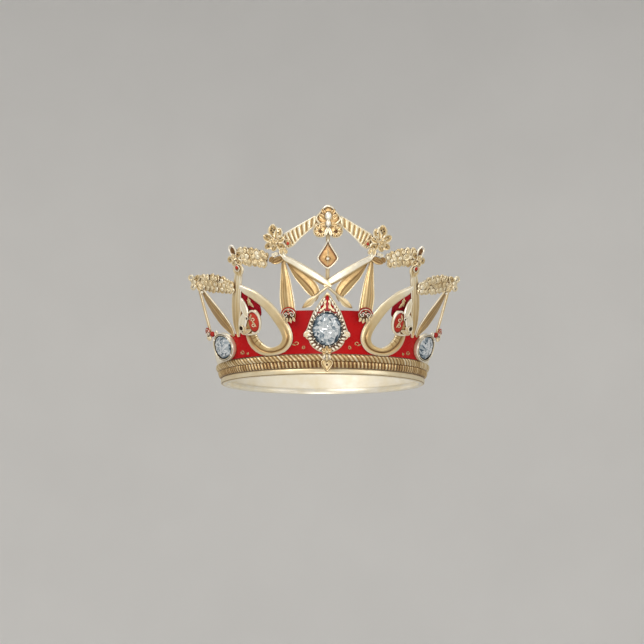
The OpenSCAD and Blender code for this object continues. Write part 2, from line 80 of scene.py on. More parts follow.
def ao_node(nodes, reach):
    ao = nodes.new("ShaderNodeAmbientOcclusion")
    put(ao, Distance=reach * MM)
    ao.samples = 8
    return ao


def ramp_node(nodes, link, source, stops):
    ramp = nodes.new("ShaderNodeValToRGB")
    while len(ramp.color_ramp.elements) < len(stops):
        ramp.color_ramp.elements.new(0.5)
    for e, (pos, col) in zip(ramp.color_ramp.elements, stops):
        e.position = pos
        e.color = (*col, 1)
    link.new(source, ramp.inputs["Fac"])
    return ramp


def multiplied(nodes, link, a, b):
    mix = nodes.new("ShaderNodeMix")
    mix.data_type = "RGBA"
    mix.blend_type = "MULTIPLY"
    put(mix, Factor=1.0)
    link.new(a.outputs["Color"], mix.inputs["A"])
    link.new(b.outputs["Color"], mix.inputs["B"])
    return mix.outputs["Result"]


def roughened(nodes, link, shader, scale, low, high, bump, distance):
    fine = noise_node(nodes, link, scale, 4, 0.6)
    wear = ramp_node(nodes, link, fine.outputs["Fac"], [(0.3, (low,) * 3), (0.75, (high,) * 3)])
    link.new(wear.outputs["Color"], shader.inputs["Roughness"])
    dent = nodes.new("ShaderNodeBump")
    put(dent, Strength=bump, Distance=distance * MM)
    link.new(fine.outputs["Fac"], dent.inputs["Height"])
    link.new(dent.outputs["Normal"], shader.inputs["Normal"])


# Gilding ramp for the tone, from painted shade in hollows (0) through satin gold to painted highlight cream
# (1)
GILDING = [(0.0, (0.024, 0.010, 0.004)), (0.2, (0.15, 0.062, 0.020)), (0.4, (0.34, 0.20, 0.075)),
           (0.6, (0.55, 0.39, 0.18)), (0.8, (0.72, 0.59, 0.36)), (0.92, (0.82, 0.74, 0.55)),
           (1.0, (0.88, 0.84, 0.74))]
TONE_DRIFT = 0.10
SHADE_AND_PATINA = (0.28, 0.14, 0.06)


def gold(name, tone=None, rough=0.36, ao_mm=1.8, metal=0.55, bump=0.2, pit=SHADE_AND_PATINA):
    """Gold plate. The mesh's own tone picks the gilding, from painted shade (low) to painted highlight
    (high); hollows are darkened by ambient occlusion as painted shade that also stands for antique patina,
    and the plate is lightly worn.
    """
    mat, nodes, link, shader = base_material(name)
    drift = noise_node(nodes, link, 90, 3)
    spread = nodes.new("ShaderNodeMapRange")
    put(spread, To_Min=-TONE_DRIFT, To_Max=TONE_DRIFT)
    link.new(drift.outputs["Fac"], spread.inputs["Value"])
    add = nodes.new("ShaderNodeMath")
    add.operation = "ADD"
    link.new(spread.outputs["Result"], add.inputs[0])
    if tone is None:
        link.new(tone_node(nodes).outputs["Fac"], add.inputs[1])
    else:
        add.inputs[1].default_value = tone
    colour = ramp_node(nodes, link, add.outputs["Value"], GILDING)
    # Ambient occlusion darkens the hollows towards the pit colour: painted shade, also standing for antique
    # patina.
    ao = ao_node(nodes, ao_mm)
    hollow = ramp_node(nodes, link, ao.outputs["AO"], [(0.22, pit), (0.72, (1, 1, 1))])
    link.new(multiplied(nodes, link, colour, hollow), shader.inputs["Base Color"])
    roughened(nodes, link, shader, 420, rough - 0.06, rough + 0.12, bump, 0.12)
    put(shader, Metallic=metal)
    return mat


def enamel_material(name, light, dark):
    mat, nodes, link, shader = base_material(name)
    drift = noise_node(nodes, link, 38, 2)
    colour = ramp_node(nodes, link, drift.outputs["Fac"], [(0.35, dark), (0.65, light)])
    ao = ao_node(nodes, 2.4)
    shade = ramp_node(nodes, link, ao.outputs["AO"], [(0.2, (0.30, 0.25, 0.30)), (0.8, (1, 1, 1))])
    link.new(multiplied(nodes, link, colour, shade), shader.inputs["Base Color"])
    roughened(nodes, link, shader, 260, 0.24, 0.36, 0.1, 0.08)
    put(shader, Specular_IOR_Level=0.14)
    return mat


# Facet tones for painted reflection and painted shade, from slate through grey blue to white
FACETS = [(0.05, (0.010, 0.018, 0.026)), (0.34, (0.055, 0.085, 0.115)), (0.56, (0.20, 0.26, 0.31)),
          (0.80, (0.38, 0.43, 0.46)), (1.0, (0.66, 0.69, 0.71))]


def stone_material(name):
    """Foil-backed cut glass: each facet has its own tone, a painted reflection or painted shade by facet."""
    mat, nodes, link, shader = base_material(name)
    own = tone_node(nodes)
    drift = noise_node(nodes, link, 900, 2)
    add = nodes.new("ShaderNodeMath")
    add.operation = "MULTIPLY_ADD"
    link.new(drift.outputs["Fac"], add.inputs[0])
    add.inputs[1].default_value = 0.34
    link.new(own.outputs["Fac"], add.inputs[2])
    colour = ramp_node(nodes, link, add.outputs["Value"], FACETS)
    link.new(colour.outputs["Color"], shader.inputs["Base Color"])
    roughened(nodes, link, shader, 500, 0.04, 0.12, 0.05, 0.03)
    put(shader, Metallic=0.2, Specular_IOR_Level=0.3)
    return mat


plated = gold("plated_gold")
# The rope's hollows get a lighter brown painted shade from ambient occlusion.
rope_gold = gold("rope_gold", ao_mm=1.1, pit=(0.44, 0.22, 0.08))
band_gold = gold("band_gold", tone=0.96, rough=0.5, ao_mm=1.0, metal=0.25, bump=0.05)
red_enamel = enamel_material("red_enamel", (0.46, 0.006, 0.006), (0.36, 0.004, 0.006))
dark_enamel = enamel_material("dark_enamel", (0.33, 0.005, 0.014), (0.23, 0.003, 0.011))
bead_enamel = enamel_material("bead_enamel", (0.50, 0.055, 0.030), (0.33, 0.018, 0.014))
crystal = stone_material("crystal")
BEAD = {"slot": "enamel_red", "mat": bead_enamel}

# ---- the wall the crown is built on
# Lengths below are in millimetres. A wall point is azimuth in degrees from the front, height and stand-off.

FLARE = radians(17)
BAND_R = 79.0
LAY1, LAY2 = 1.3, 3.4
RIGHT, LEFT = 1, -1
SIDES = (RIGHT, LEFT)
SIDE_WORD = {RIGHT: "_right", LEFT: "_left"}
TAU = 2 * pi


def wall_r(z):
    return BAND_R + tan(FLARE) * z


def wall(a, z, w):
    t = radians(a)
    r = wall_r(z) + w * cos(FLARE)
    return Vector((r * sin(t), -r * cos(t), z - w * sin(FLARE)))


def wall_out(a):
    t = radians(a)
    return Vector((cos(FLARE) * sin(t), -cos(FLARE) * cos(t), -sin(FLARE)))


def on_wall(a0, z0, w0):
    """A drawing surface on the wall: x round it, y up it, h out of it, all from the point a0, z0, w0."""
    def at(x, y, h):
        z = z0 + y * cos(FLARE)
        return wall(a0 + degrees(x / wall_r(z)), z, w0 + h)
    return at


def catmull(p, q, r, s, t):
    """The point t from q to r on a smooth curve through p, q, r and s."""
    return [0.5 * (2 * b + (c - a) * t + (2 * a - 5 * b + 4 * c - d) * t * t
                   + (3 * b - a - 3 * c + d) * t ** 3)
            for a, b, c, d in zip(p, q, r, s)]


def smooth(c, n=12):
    """An open curve through the points c, with n steps between each two."""
    m = len(c) - 1
    first = [2 * a - b for a, b in zip(c[0], c[1])]
    last = [2 * a - b for a, b in zip(c[m], c[m - 1])]
    pts = [first] + [list(p) for p in c] + [last]
    out = [catmull(pts[i], pts[i + 1], pts[i + 2], pts[i + 3], k / n) for i in range(m) for k in range(n)]
    return out + [list(c[m])]


def ring_curve(c, n=5):
    """A closed curve through the points c, with n steps between each two."""
    m = len(c)
    return [catmull(c[(i - 1) % m], c[i], c[(i + 1) % m], c[(i + 2) % m], k / n)
            for i in range(m) for k in range(n)]


def flipped(path):
    return [[-p[0]] + list(p[1:]) for p in path]


def mirrored(half):
    """A closed outline from its right half, whose first and last points lie on the middle line."""
    return half + [[-x, y] for x, y in half[-2:0:-1]]


def layer(w, points):
    """Points of azimuth, height and half width, all at the stand-off w."""
    return [[a, z, h, w] for a, z, h in points]


def oval(a, b, n=72):
    return [(a * cos(TAU * i / n), b * sin(TAU * i / n)) for i in range(n)]


def bump_at(x, centre, width):
    return exp(-((x - centre) / width) ** 2)


def clamp(v, low=0.0, high=1.0):
    return max(low, min(high, v))


def lerp(a, b, t):
    return a + (b - a) * clamp(t)


# ---- mesh building

# Stations across a blade, closest together at its edges
XS = [-1, -0.985, -0.95, -0.9, -0.85, -0.8, -0.74, -0.66, -0.55, -0.42, -0.28, -0.14, 0]
XS += [-x for x in XS[-2::-1]]


class Build:
    """Collects closed shells in millimetres, each vertex with a tone, and makes one mesh of them."""

    def __init__(self, tone=0.8):
        self.v, self.f, self.t = [], [], []
        self.tone = tone

    def loft(self, rings, tones=None, closed=False):
        """A skin over rings of equally many points, with its ends capped or joined."""
        base, m, n = len(self.v), len(rings[0]), len(rings)
        for i, r in enumerate(rings):
            self.v += r
            self.t += tones[i] if tones else [self.tone] * m
        for i in range(n if closed else n - 1):
            a, b = base + i * m, base + ((i + 1) % n) * m
            self.f += [(a + j, b + j, b + (j + 1) % m, a + (j + 1) % m) for j in range(m)]
        if not closed:
            for start in (base, base + (n - 1) * m):
                self.v.append(sum((self.v[start + j] for j in range(m)), Vector()) / m)
                self.t.append(self.t[start])
                self.f += [(start + j, start + (j + 1) % m, len(self.v) - 1) for j in range(m)]
        return self

    def tube(self, pts, radius, tone=None, n=8, closed=False):
        """A round wire through points; radius may be a function of 0 to 1 along it."""
        m = len(pts)
        rings, normal = [], None
        for i, p in enumerate(pts):
            q0 = pts[(i - 1) % m] if closed or i else p
            q1 = pts[(i + 1) % m] if closed or i < m - 1 else p
            along = (q1 - q0).normalized()
            if normal is None:
                normal = along.orthogonal().normalized()
            normal = (normal - along * normal.dot(along)).normalized()
            other = along.cross(normal)
            r = radius(i / max(m - 1, 1)) if callable(radius) else radius
            rings.append([p + (normal * cos(TAU * k / n) + other * sin(TAU * k / n)) * r
                          for k in range(n)])
        t = self.tone if tone is None else tone
        return self.loft(rings, [[t] * n] * m, closed)

    def ball(self, at, x, y, h, rx, ry, rh, tone=None, turn=0.0, n=14, m=8):
        """A rounded lump with its own radius along x, y and h."""
        rings = []
        ct, st = cos(turn), sin(turn)
        for i in range(1, m):
            p = pi * i / m - pi / 2
            ring = []
            for k in range(n):
                t = TAU * k / n
                dx, dy = rx * cos(p) * cos(t), ry * cos(p) * sin(t)
                ring.append(at(x + dx * ct - dy * st, y + dx * st + dy * ct, h + rh * sin(p)))
            rings.append(ring)
        t = self.tone if tone is None else tone
        return self.loft(rings, [[t] * n] * len(rings))

    def leaf(self, at, x, y, angle, length, width, base, height, tone=None, heart=0.35, cup=0.5, lift=0.0,
             ns=12):
        """A petal or leaf with a light raised rim, a hollow middle that is painted darker by heart as its
        shade, and a crease; its foot underneath is painted darker too. lift raises the far end."""
        blunt, crease, foot = 0.62, 0.2, 0.4
        ca, sa = cos(angle), sin(angle)
        t0 = self.tone if tone is None else tone
        rings, tones = [], []
        us = [-1, -0.92, -0.8, -0.62, -0.4, -0.16, 0, 0.16, 0.4, 0.62, 0.8, 0.92, 1]
        for i in range(ns + 1):
            s = i / ns
            hw = width / 2 * max(sin(pi * clamp(s, 0.03, 0.975)) ** blunt, 0.08)
            end = clamp(6 * min(s, 1 - s))
            mx, my = x + length * s * ca, y + length * s * sa
            ring, tone_ring = [], []
            for u in us:
                inner = clamp(1 - (abs(u) / 0.78) ** 3) * end
                h = height * (0.45 + 0.55 * (1 - u ** 4)) * (0.4 + 0.6 * end)
                h += height * (crease * bump_at(u, 0, 0.16) - cup * inner * 0.6)
                ring.append(at(mx - u * hw * sa, my + u * hw * ca, base + h + lift * s))
                tone_ring.append(clamp(t0 - heart * inner * (1 - 0.8 * bump_at(u, 0, 0.14))))
            for u in (0.9, 0, -0.9):
                ring.append(at(mx - u * hw * sa, my + u * hw * ca, base - foot + lift * s))
                tone_ring.append(t0 * 0.7)
            rings.append(ring)
            tones.append(tone_ring)
        return self.loft(rings, tones)

    def curl(self, at, x, y, h, r0, r1, start, turns, wire, tone=None):
        """A tapering wire spiral from radius r0 to r1, ending in a small ball."""
        pts, steps = [], 30
        for i in range(steps + 1):
            s = i / steps
            t, r = start + TAU * turns * s, r0 + (r1 - r0) * s
            pts.append(at(x + r * cos(t), y + r * sin(t), h))
        self.tube(pts, lambda s: wire * (1 - 0.35 * s), tone)
        end = start + TAU * turns
        return self.ball(at, x + r1 * cos(end), y + r1 * sin(end), h,
                         wire * 1.15, wire * 1.15, wire * 1.1, tone, n=10, m=6)

    def loop(self, at, x, y, h, rx, ry, wire, tone=None, turn=0.0, n=28):
        """A closed oval of wire."""
        ct, st = cos(turn), sin(turn)
        pts = []
        for k in range(n):
            dx, dy = rx * cos(TAU * k / n), ry * sin(TAU * k / n)
            pts.append(at(x + dx * ct - dy * st, y + dx * st + dy * ct, h))
        return self.tube(pts, wire, tone, closed=True)

    def strip(self, path, section):
        """A blade following the wall through smoothed points of azimuth, height, half width and stand-off.
        section(x, s) gives height and tone at x from -1 to 1 across it and s from 0 to 1 along it."""
        n = len(path)
        rings, tones = [], []
        for i, p in enumerate(path):
            q0, q1 = path[max(i - 1, 0)], path[min(i + 1, n - 1)]
            along = (wall(q1[0], q1[1], q1[3]) - wall(q0[0], q0[1], q0[3])).normalized()
            side = wall_out(p[0]).cross(along).normalized()
            out = along.cross(side).normalized()
            o = wall(p[0], p[1], p[3])
            cut = [section(x, i / (n - 1)) for x in XS]
            rings.append([o + side * (x * p[2]) + out * c[0] for x, c in zip(XS, cut)]
                         + [o + side * (x * p[2]) for x in (0.97, 0.5, 0, -0.5, -0.97)])
            tones.append([clamp(c[1]) for c in cut] + [0.62] * 5)
        return self.loft(rings, tones)

    def stack(self, at, outline, centre, levels):
        """An outline repeated about a centre: each level is a scale, height and tone, from the back."""
        cx, cy = centre
        rings = [[at(cx + (x - cx) * k, cy + (y - cy) * k, h) for x, y in outline] for k, h, t in levels]
        return self.loft(rings, [[t] * len(outline) for k, h, t in levels])

    def ring_plate(self, at, outer, inner, levels):
        """A flat ring between two outlines of equally many points: levels are 0 at the outer edge to 1 at
        the inner edge, height and tone, running round the section."""
        rings = [[at(p[0] + (q[0] - p[0]) * k, p[1] + (q[1] - p[1]) * k, h) for p, q in zip(outer, inner)]
                 for k, h, t in levels]
        m = len(outer)
        return self.loft(rings, [[t] * m for k, h, t in levels], closed=True)

    def make(self, name, node=None, slot="gold_satin", mat=None, body=CROWN, side=None, sharp=45.0,
             faceted=False):
        """One object from the shells. A side adds its word to the names, and the left one is mirrored.
        Facets of a stone keep their own corners, so that each keeps its own tone."""
        if side:
            name += SIDE_WORD[side]
            node = node and node + SIDE_WORD[side]
        across = side or RIGHT
        mesh = bpy.data.meshes.new(name)
        faces = [f[::-1] for f in self.f] if side == LEFT else self.f
        mesh.from_pydata([(across * p.x * MM, p.y * MM, p.z * MM) for p in self.v], [], faces)
        tone = mesh.attributes.new("tone", "FLOAT", "POINT")
        tone.data.foreach_set("value", self.t)
        bm = bmesh.new()
        bm.from_mesh(mesh)
        if not faceted:
            bmesh.ops.remove_doubles(bm, verts=bm.verts, dist=0.003 * MM)
            bmesh.ops.recalc_face_normals(bm, faces=bm.faces)
        bm.to_mesh(mesh)
        bm.free()
        mesh.polygons.foreach_set("use_smooth", [not faceted] * len(mesh.polygons))
        if not faceted:
            mesh.set_sharp_from_angle(angle=radians(sharp))
        mesh.materials.append(mat or plated)
        obj = placed(name, mesh)
        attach(obj, body)
        if node:
            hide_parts(node)
        return obj


# ---- sections of blades and ribbons

BLADE_THICK, BLADE_EDGE = 1.9, 0.8


def blade(field, rim=0.95, lines=(), rim_w=0.12, edge=BLADE_EDGE):
    """Ridged blade with a raised rim painted light as its highlight, a groove inside it painted dark as its
    shade, and engraved lines along it, each painted darker by its depth as its shade. field is the middle's
    tone, rim the edge's; lines gives each engraved line's place and depth."""
    def section(x, s):
        e = abs(x)
        tone = field(s) if callable(field) else field
        h = edge + (BLADE_THICK - edge) * (1 - e) ** 0.8
        h += 0.22 * bump_at(e, 0.93, 0.07) - 0.18 * bump_at(e, 0.76, 0.06)
        tone = lerp(tone, rim, bump_at(e, 0.97, rim_w) * 1.2) - 0.22 * bump_at(e, 0.76, 0.07)
        for at_x, depth in lines:
            h -= depth * bump_at(x, at_x, 0.06)
            tone -= depth * 0.9 * bump_at(x, at_x, 0.09)
        return h, tone
    return section


# ---- rim and rope strips


RIM_IN, RIM_OUT, RIM_H = 76.5, 81.0, 4.7


def rim():
    """A rolled ring with an engraved line round its lower outer edge, turned from a closed section. Its
    inner face is painted lighter than its outer face as painted light, the engraved line is painted dark as
    its shade, and the top of the roll is painted darker towards the strip above.
    """
    inside, outside, dark, line_at, turn = 0.98, 0.86, 0.03, -54, 1.5
    out = [(RIM_IN + x, z, inside) for x, z in ((0, 0.45), (0.12, 0.12), (0.45, 0), (1.5, 0))]
    for a in range(-90, 1, 6):
        t, line = radians(a), bump_at(a, line_at, 9)
        r = turn - 0.35 * line
        out.append((RIM_OUT - turn + r * cos(t), turn + r * sin(t), lerp(outside, dark, line)))
    out += [(RIM_OUT - turn + turn * cos(t), RIM_H - turn + turn * sin(t), outside - 0.002 * a)
            for a, t in [(a, radians(a)) for a in range(0, 91, 15)]]
    out += [(RIM_IN + 0.3, RIM_H, 0.8), (RIM_IN, RIM_H - 0.3, 0.96)]
    steps = 288
    rings = []
    for i in range(steps):
        t = TAU * i / steps
        rings.append([Vector((r * sin(t), -r * cos(t), z)) for r, z, _ in out])
    tones = [[q[2] for q in out]] * steps
    Build().loft(rings, tones, closed=True).make("rim", "rim_ring", "gold_polished")


rim()


def rope(name, node, slot, z0, z1, bulge, ribs, lean, tone_high, tone_low, sharp_rib):
    """Ribbed half-round strip round the whole crown; lean slants the ribs."""
    b = Build()
    # the ribs lie closest together at the front
    per, rows, crowding = 8, 9, 0.26
    r = random.Random(ribs)
    lift = [r.uniform(0.72, 1.1) for _ in range(ribs)]
    mid, half = (z0 + z1) / 2, (z1 - z0) / 2
    rings, tones = [], []
    for i in range(ribs * per):
        t = TAU * i / (ribs * per)
        a = degrees(t + crowding * sin(t))
        outward = Vector((sin(radians(a)), -cos(radians(a)), 0))
        ring, tone_ring = [], []
        for j in range(rows + 1):
            p = pi * j / rows
            up = -cos(p)
            wave = 0.5 + 0.5 * cos(TAU * (i / per + lean * up))
            crest = wave ** sharp_rib
            swell = sin(p) ** 0.6 if 0 < j < rows else 0
            own = lift[int(i / per + lean * up + 0.5) % ribs]
            h = 0.1 + (bulge - 0.1) * swell * (0.45 + 0.55 * crest * clamp(own))
            z = mid + half * up
            ring.append(wall(a, z, 0) + outward * h)
            # Crests take the high tone as painted highlight and the hollows between ribs the low tone as
            # painted shade; own varies each rib at random.
            tone_ring.append(lerp(tone_low, tone_high * own, crest))
        ring += [wall(a, z1, 0.03), wall(a, z0, 0.03)]
        tone_ring += [0.2, 0.2]
        rings.append(ring)
        tones.append(tone_ring)
    return b.loft(rings, tones, closed=True).make(name, node, slot, mat=rope_gold, sharp=60)


rope("rope_upper", "rope_strip_upper", "gold_satin", 9.5, 14.4, 2.3, 186, 0.6, 0.93, 0.24, 0.8)
rope("rope_lower", "rope_strip_lower", "gold_antique", 4.8, 9.5, 1.9, 214, 0.12, 0.80, 0.16, 1.1)

# ---- stones and settings


def stone(name, node, at, a, b_half, depth, seed, count, side=None):
    """Brilliant-cut oval: irregular flat facets, each with its own brightness, painted as its reflection and
    shade.
    """
    r = random.Random(seed)
    levels = [(1, 0), (1, 0.35), (0.90, 1.1), (0.74, 1.9), (0.54, 2.5), (0.33, 2.75), (0.14, 2.85)]
    rings = []
    for j, (k, h) in enumerate(levels):
        ring = []
        for i in range(count):
            jig = 0 if j < 2 else 1
            t = TAU * (i + 0.5 * (j % 2) + jig * r.uniform(-0.32, 0.32)) / count
            kk = k * (1 + jig * r.uniform(-0.05, 0.05))
            hh = (h + jig * r.uniform(-0.22, 0.16)) * depth / 2.85
            ring.append((a * kk * cos(t), b_half * kk * sin(t), hh))
        rings.append(ring)
    verts, faces, tones = [], [], []

    def facet(points, j):
        verts.extend(points)
        faces.append(tuple(range(len(verts) - len(points), len(verts))))
        y = sum(p[1] for p in points) / len(points) / b_half
        # Painted reflection and shade: girdle facets stay dark, the others get a random brightness, lighter
        # towards the tip and darker on the lower half and the outer rings.
        if j <= 1:
            tone = r.uniform(-0.1, 0.22) - 0.16 * clamp(-y)
        else:
            tone = r.choice((0.16, 0.34, 0.5, 0.6, 0.68, 0.74, 0.84, 0.93)) + r.uniform(-0.06, 0.06)
            tone += 0.03 * j - 0.1 * clamp(-y) - 0.14 * clamp((4 - j) / 4)
        tones.extend([tone] * len(points))

    m = len(rings)
    for j in range(m - 1):
        for i in range(count):
            k = (i + 1) % count
            p, q, s, u = rings[j][i], rings[j][k], rings[j + 1][k], rings[j + 1][i]
            if r.random() < 0.5:
                facet([p, q, s], j)
                facet([p, s, u], j)
            else:
                facet([p, q, u], j)
                facet([q, s, u], j)
    tip = (0, 0, depth)
    for i in range(count):
        facet([rings[-1][i], rings[-1][(i + 1) % count], tip], m)
    back = [(p[0] * 0.96, p[1] * 0.96, -0.3) for p in rings[0]]
    for i in range(count):
        facet([back[(i + 1) % count], back[i], rings[0][i], rings[0][(i + 1) % count]], 0)
    facet(back[::-1], 0)
    build = Build()
    build.v, build.f, build.t = [at(*p) for p in verts], faces, tones
    return build.make(name, node, "crystal", mat=crystal, side=side, faceted=True)


STONE_A, STONE_B = 10.2, 12.4
SIDE_A, SIDE_B = 13.0, 9.6
SIDE_STONE_A, SIDE_STONE_H = 60, 25.4
PEAR_H = 33

centre_at = on_wall(0, PEAR_H, LAY1)


def setting(b, at, a, b_half, wall_h, claws, width=1.3):
    """Cup with a rounded lip, a dark inner channel and claws over the stone's edge."""
    n = 96
    # The lip takes the top tone as painted highlight; the inner channel and the plate under the stone are
    # painted dark as the shade round the stone.
    b.ring_plate(at, oval(a + width, b_half + width, n), oval(a - 0.5, b_half - 0.5, n), [
        (0, 0, 0.8), (0, wall_h * 0.7, 0.98), (0.06, wall_h, 1.0), (0.2, wall_h + 0.25, 1.0),
        (0.36, wall_h + 0.05, 0.9), (0.44, wall_h - 0.4, 0.15), (0.7, wall_h - 0.8, 0.03),
        (1, wall_h - 0.9, 0.03), (1, 0, 0.1)])
    b.stack(at, oval(a + 0.3, b_half + 0.3, n), (0, 0), [(1, 0.02, 0.2), (1, 0.5, 0.05)])
    for i in range(claws):
        t = TAU * (i + 0.5) / claws
        x, y = (a + 0.35) * cos(t), (b_half + 0.35) * sin(t)
        b.ball(at, x, y, wall_h - 0.1, 1.15, 0.5, 0.75, 1.0, turn=t)
    return b


cup = setting(Build(), centre_at, STONE_A + 0.3, STONE_B + 0.3, 2.0, 16, 0.5)
cup.make("centre_cup", "centre_setting", "gold_polished")
stone("centre_gem", "centre_stone", lambda x, y, h: centre_at(x, y, h + 1.5),
      STONE_A + 0.3, STONE_B + 0.3, 3.3, 3, 25)

for side in SIDES:
    at = on_wall(SIDE_STONE_A, SIDE_STONE_H, 1.25)
    b = setting(Build(), at, SIDE_A, SIDE_B, 3.3, 4, 1.3)
    b.loop(at, 0, 0, 3.2, SIDE_A - 0.1, SIDE_B - 0.1, 0.32, 0.9, n=64)
    b.make("side_cup", "side_setting", "gold_polished", side=side)
    stone("side_gem", "side_stone", lambda x, y, h: at(x, y, h + 1.7),
          SIDE_A - 0.3, SIDE_B - 0.2, 2.9, 11 + side, 21, side)

# ---- pear frame

PEAR = [(0, 27.6), (3.9, 21.8), (6.8, 17.2), (9.4, 12.8), (11.4, 8), (12.9, 4), (14.2, 0), (15.2, -2),
        (16, -5), (14.6, -7.4), (13, -8.6), (11.6, -12), (9.2, -14.6), (5.6, -16.8), (2.4, -18),
        (0, -18.4)]
PEAR_EDGE = [(2, 24.2), (4.3, 20.6), (7, 16.6), (9.6, 12.2), (11.5, 8), (13, 4), (14, 0),
             (14.2, -4), (13.2, -8), (11.3, -11.8), (8.6, -14.6), (5.4, -16.4), (2.6, -17.2)]
TIP = [(0, 25.2), (3.6, 20), (6.4, 15.6), (8.6, 11.6), (7.4, 10), (4.4, 12.4), (0, 13.6)]
# Leaf strokes over the enamelled point: root x, y, length and turn in degrees
TIP_STROKES = ((3.9, 13.4, 4.6, 118), (1.4, 14.6, 4.4, 84), (5.6, 12.6, 3.4, 128), (2.3, 18.0, 3.8, 112))


def pear():
    """A pear-shaped plate with gadroons round its edge, leaf strokes over its point and two side ears."""
    outer = ring_curve(mirrored(PEAR), 4)
    hole_a, hole_b = STONE_A + 0.8, STONE_B + 0.8
    inner = []
    for x, y in outer:
        t = atan2(x / hole_a, y / hole_b)
        inner.append([hole_a * sin(t), hole_b * cos(t)])
    b = Build()
    # The raised outer part is painted light as highlight and the plate round the stone dark as painted
    # shade.
    b.ring_plate(centre_at, outer, inner, [(0, 0, 0.5), (0, 0.7, 0.9), (0.08, 0.95, 0.9), (0.2, 0.7, 0.2),
                                           (0.8, 0.6, 0.08), (1, 0.6, 0.05), (1, 0, 0.1)])
    for s in SIDES:
        edge_line = smooth([(s * x, y) for x, y in PEAR_EDGE], 12)
        lengths = [0]
        for p, q in zip(edge_line, edge_line[1:]):
            lengths.append(lengths[-1] + dist(p, q))
        gap = 3.1
        for k in range(int(lengths[-1] / gap) + 1):
            d = gap * (k + 0.3)
            i = next((i for i, v in enumerate(lengths) if v >= d), len(edge_line) - 1)
            x, y = edge_line[i]
            t = atan2(x / (STONE_A + 0.7), y / (STONE_B + 0.7))
            dx, dy = x - (STONE_A + 0.7) * sin(t), y - (STONE_B + 0.7) * cos(t)
            room = hypot(dx, dy)
            half = clamp(room / 2 + 0.1, 1.0, 1.9)
            back = (half - 0.3) / room
            b.ball(centre_at, x - dx * back, y - dy * back, 1.15, half, 0.98, 1.1, 0.97,
                   turn=atan2(dy, dx) + s * 0.45, n=12, m=8)
        edge = [centre_at(s * x, y, 1.1) for x, y in smooth(PEAR[0:9], 5)]
        b.tube(edge, lambda q: 0.5 - 0.15 * q, 0.93)
        b.leaf(centre_at, s * 12.6, -2.2, atan2(-3.4, s * 4.2), 5.2, 4.4, 0.9, 1.0, 1.0, heart=0.25)
        b.leaf(centre_at, s * 0.6, -15.4, atan2(-3.6, s * 1.2), 4.2, 3.0, 1.0, 0.9, 0.95, heart=0.4)
        for x, y, length, turn in TIP_STROKES:
            b.leaf(centre_at, s * x, y, radians(90 + s * (turn - 90)), length, 1.5, 1.35, 0.6, 0.9,
                   heart=0.1, ns=8)
    b.make("pear_gold", "pear_frame")
    field = [(x * 1.02, y) for x, y in mirrored(TIP)]
    red = Build()
    red.stack(centre_at, field, (0, 17), [(1.0, 0.3, 0.5), (0.98, 1.0, 0.5), (0.9, 1.25, 0.5)])
    red.make("pear_tip_enamel", "pear_enamel", "enamel_red", mat=red_enamel)


pear()

# ---- star, drop and finial

# Paths give azimuth, height, half width and stand-off at each point
SPIKE = layer(LAY2, [(10.8, 48.4, 0.3), (9.3, 50, 1.9), (7.7, 51.8, 2.9), (6.3, 54, 2.3), (4.4, 56.8, 1.1),
                     (0.8, 62, 1.2), (-1, 64.2, 1)])

star = Build()
for k, arm in enumerate((SPIKE, flipped(SPIKE))):
    star.strip([[a, z, h, w + 0.25 * k] for a, z, h, w in smooth(arm)],
               blade(lambda s: lerp(0.62, 0.95, s), 1.0, [(0.2, 0.3)], 0.3))
star.make("star_arms", "star_spikes", "gold_polished")

ARCH = [[17.9, 88.8, 1.3, LAY1 + 0.2], [17.6, 86.6, 1.8, LAY1 + 1], [16.6, 83.6, 2.3, LAY2],
        [13.6, 80.4, 2.6, LAY2], [9, 75.1, 3.1, LAY2], [4.4, 70.0, 3.1, LAY2 + 0.1],
        [0.6, 65.8, 2.5, LAY2 + 0.2], [-1.4, 63.6, 1.2, LAY2 + 0.2]]


def arch_section(low_side):
    def section(x, s):
        """White polished ribbon whose lower edge slopes away; the slope is painted darker as its shade, and
        the outer edges and the lower end are painted darker as shade too.
        """
        slope = clamp((low_side * x - 0.42) / 0.25)
        h = 0.7 + 1.2 * clamp(1 - abs(x) ** 6) - 0.55 * slope
        edge, end = bump_at(abs(x), 1, 0.05), clamp((s - 0.78) / 0.15)
        return h, lerp(0.95, 0.62, slope) - 0.2 * edge - 0.16 * end
    return section


arch = Build()
arch.strip(smooth(ARCH), arch_section(1))
arch.strip([[a, z, h, w + 0.3] for a, z, h, w in smooth(flipped(ARCH))], arch_section(-1))
arch.make("arch", "arch_ribbon", "gold_polished")

LEAF = layer(LAY1, [(16.2, 80.5, 0.4), (12.2, 72.4, 4), (8.4, 65.6, 5.4), (6, 60.2, 5), (5.2, 56, 3),
                    (5.1, 52.6, 0.4)])
PILLAR = layer(LAY1, [(17.8, 82.5, 1.2), (17.7, 76, 2.6), (17.6, 66, 4.3), (17.7, 56, 5.6), (17.4, 47, 5.6),
                      (17.2, 42.4, 4.9)])
STEM = layer(LAY1, [(38.4, 79.5, 2.3), (39.4, 74.4, 3.4), (41.2, 66.4, 3.9), (43.6, 55, 4.5),
                    (45.3, 44, 4.4), (46.3, 36.4, 2.9), (46.6, 30.6, 1)])
LOOP = [[38.5, 66.8, 1.4, 3.4], [36.4, 63.4, 2.8, 3.4], [32, 58.7, 3.5, 3], [26.9, 50.4, 3.8, 1.6]]
LOOP += layer(LAY1, [(22.9, 41.6, 4.1), (19.7, 32.8, 4.3), (19.2, 25.6, 4.1), (22.2, 20, 3.5),
                     (27.9, 17.9, 3), (33, 19.7, 4.2), (36.8, 24.6, 5.2), (38.4, 30.4, 5),
                     (38.8, 36.4, 3.4)])
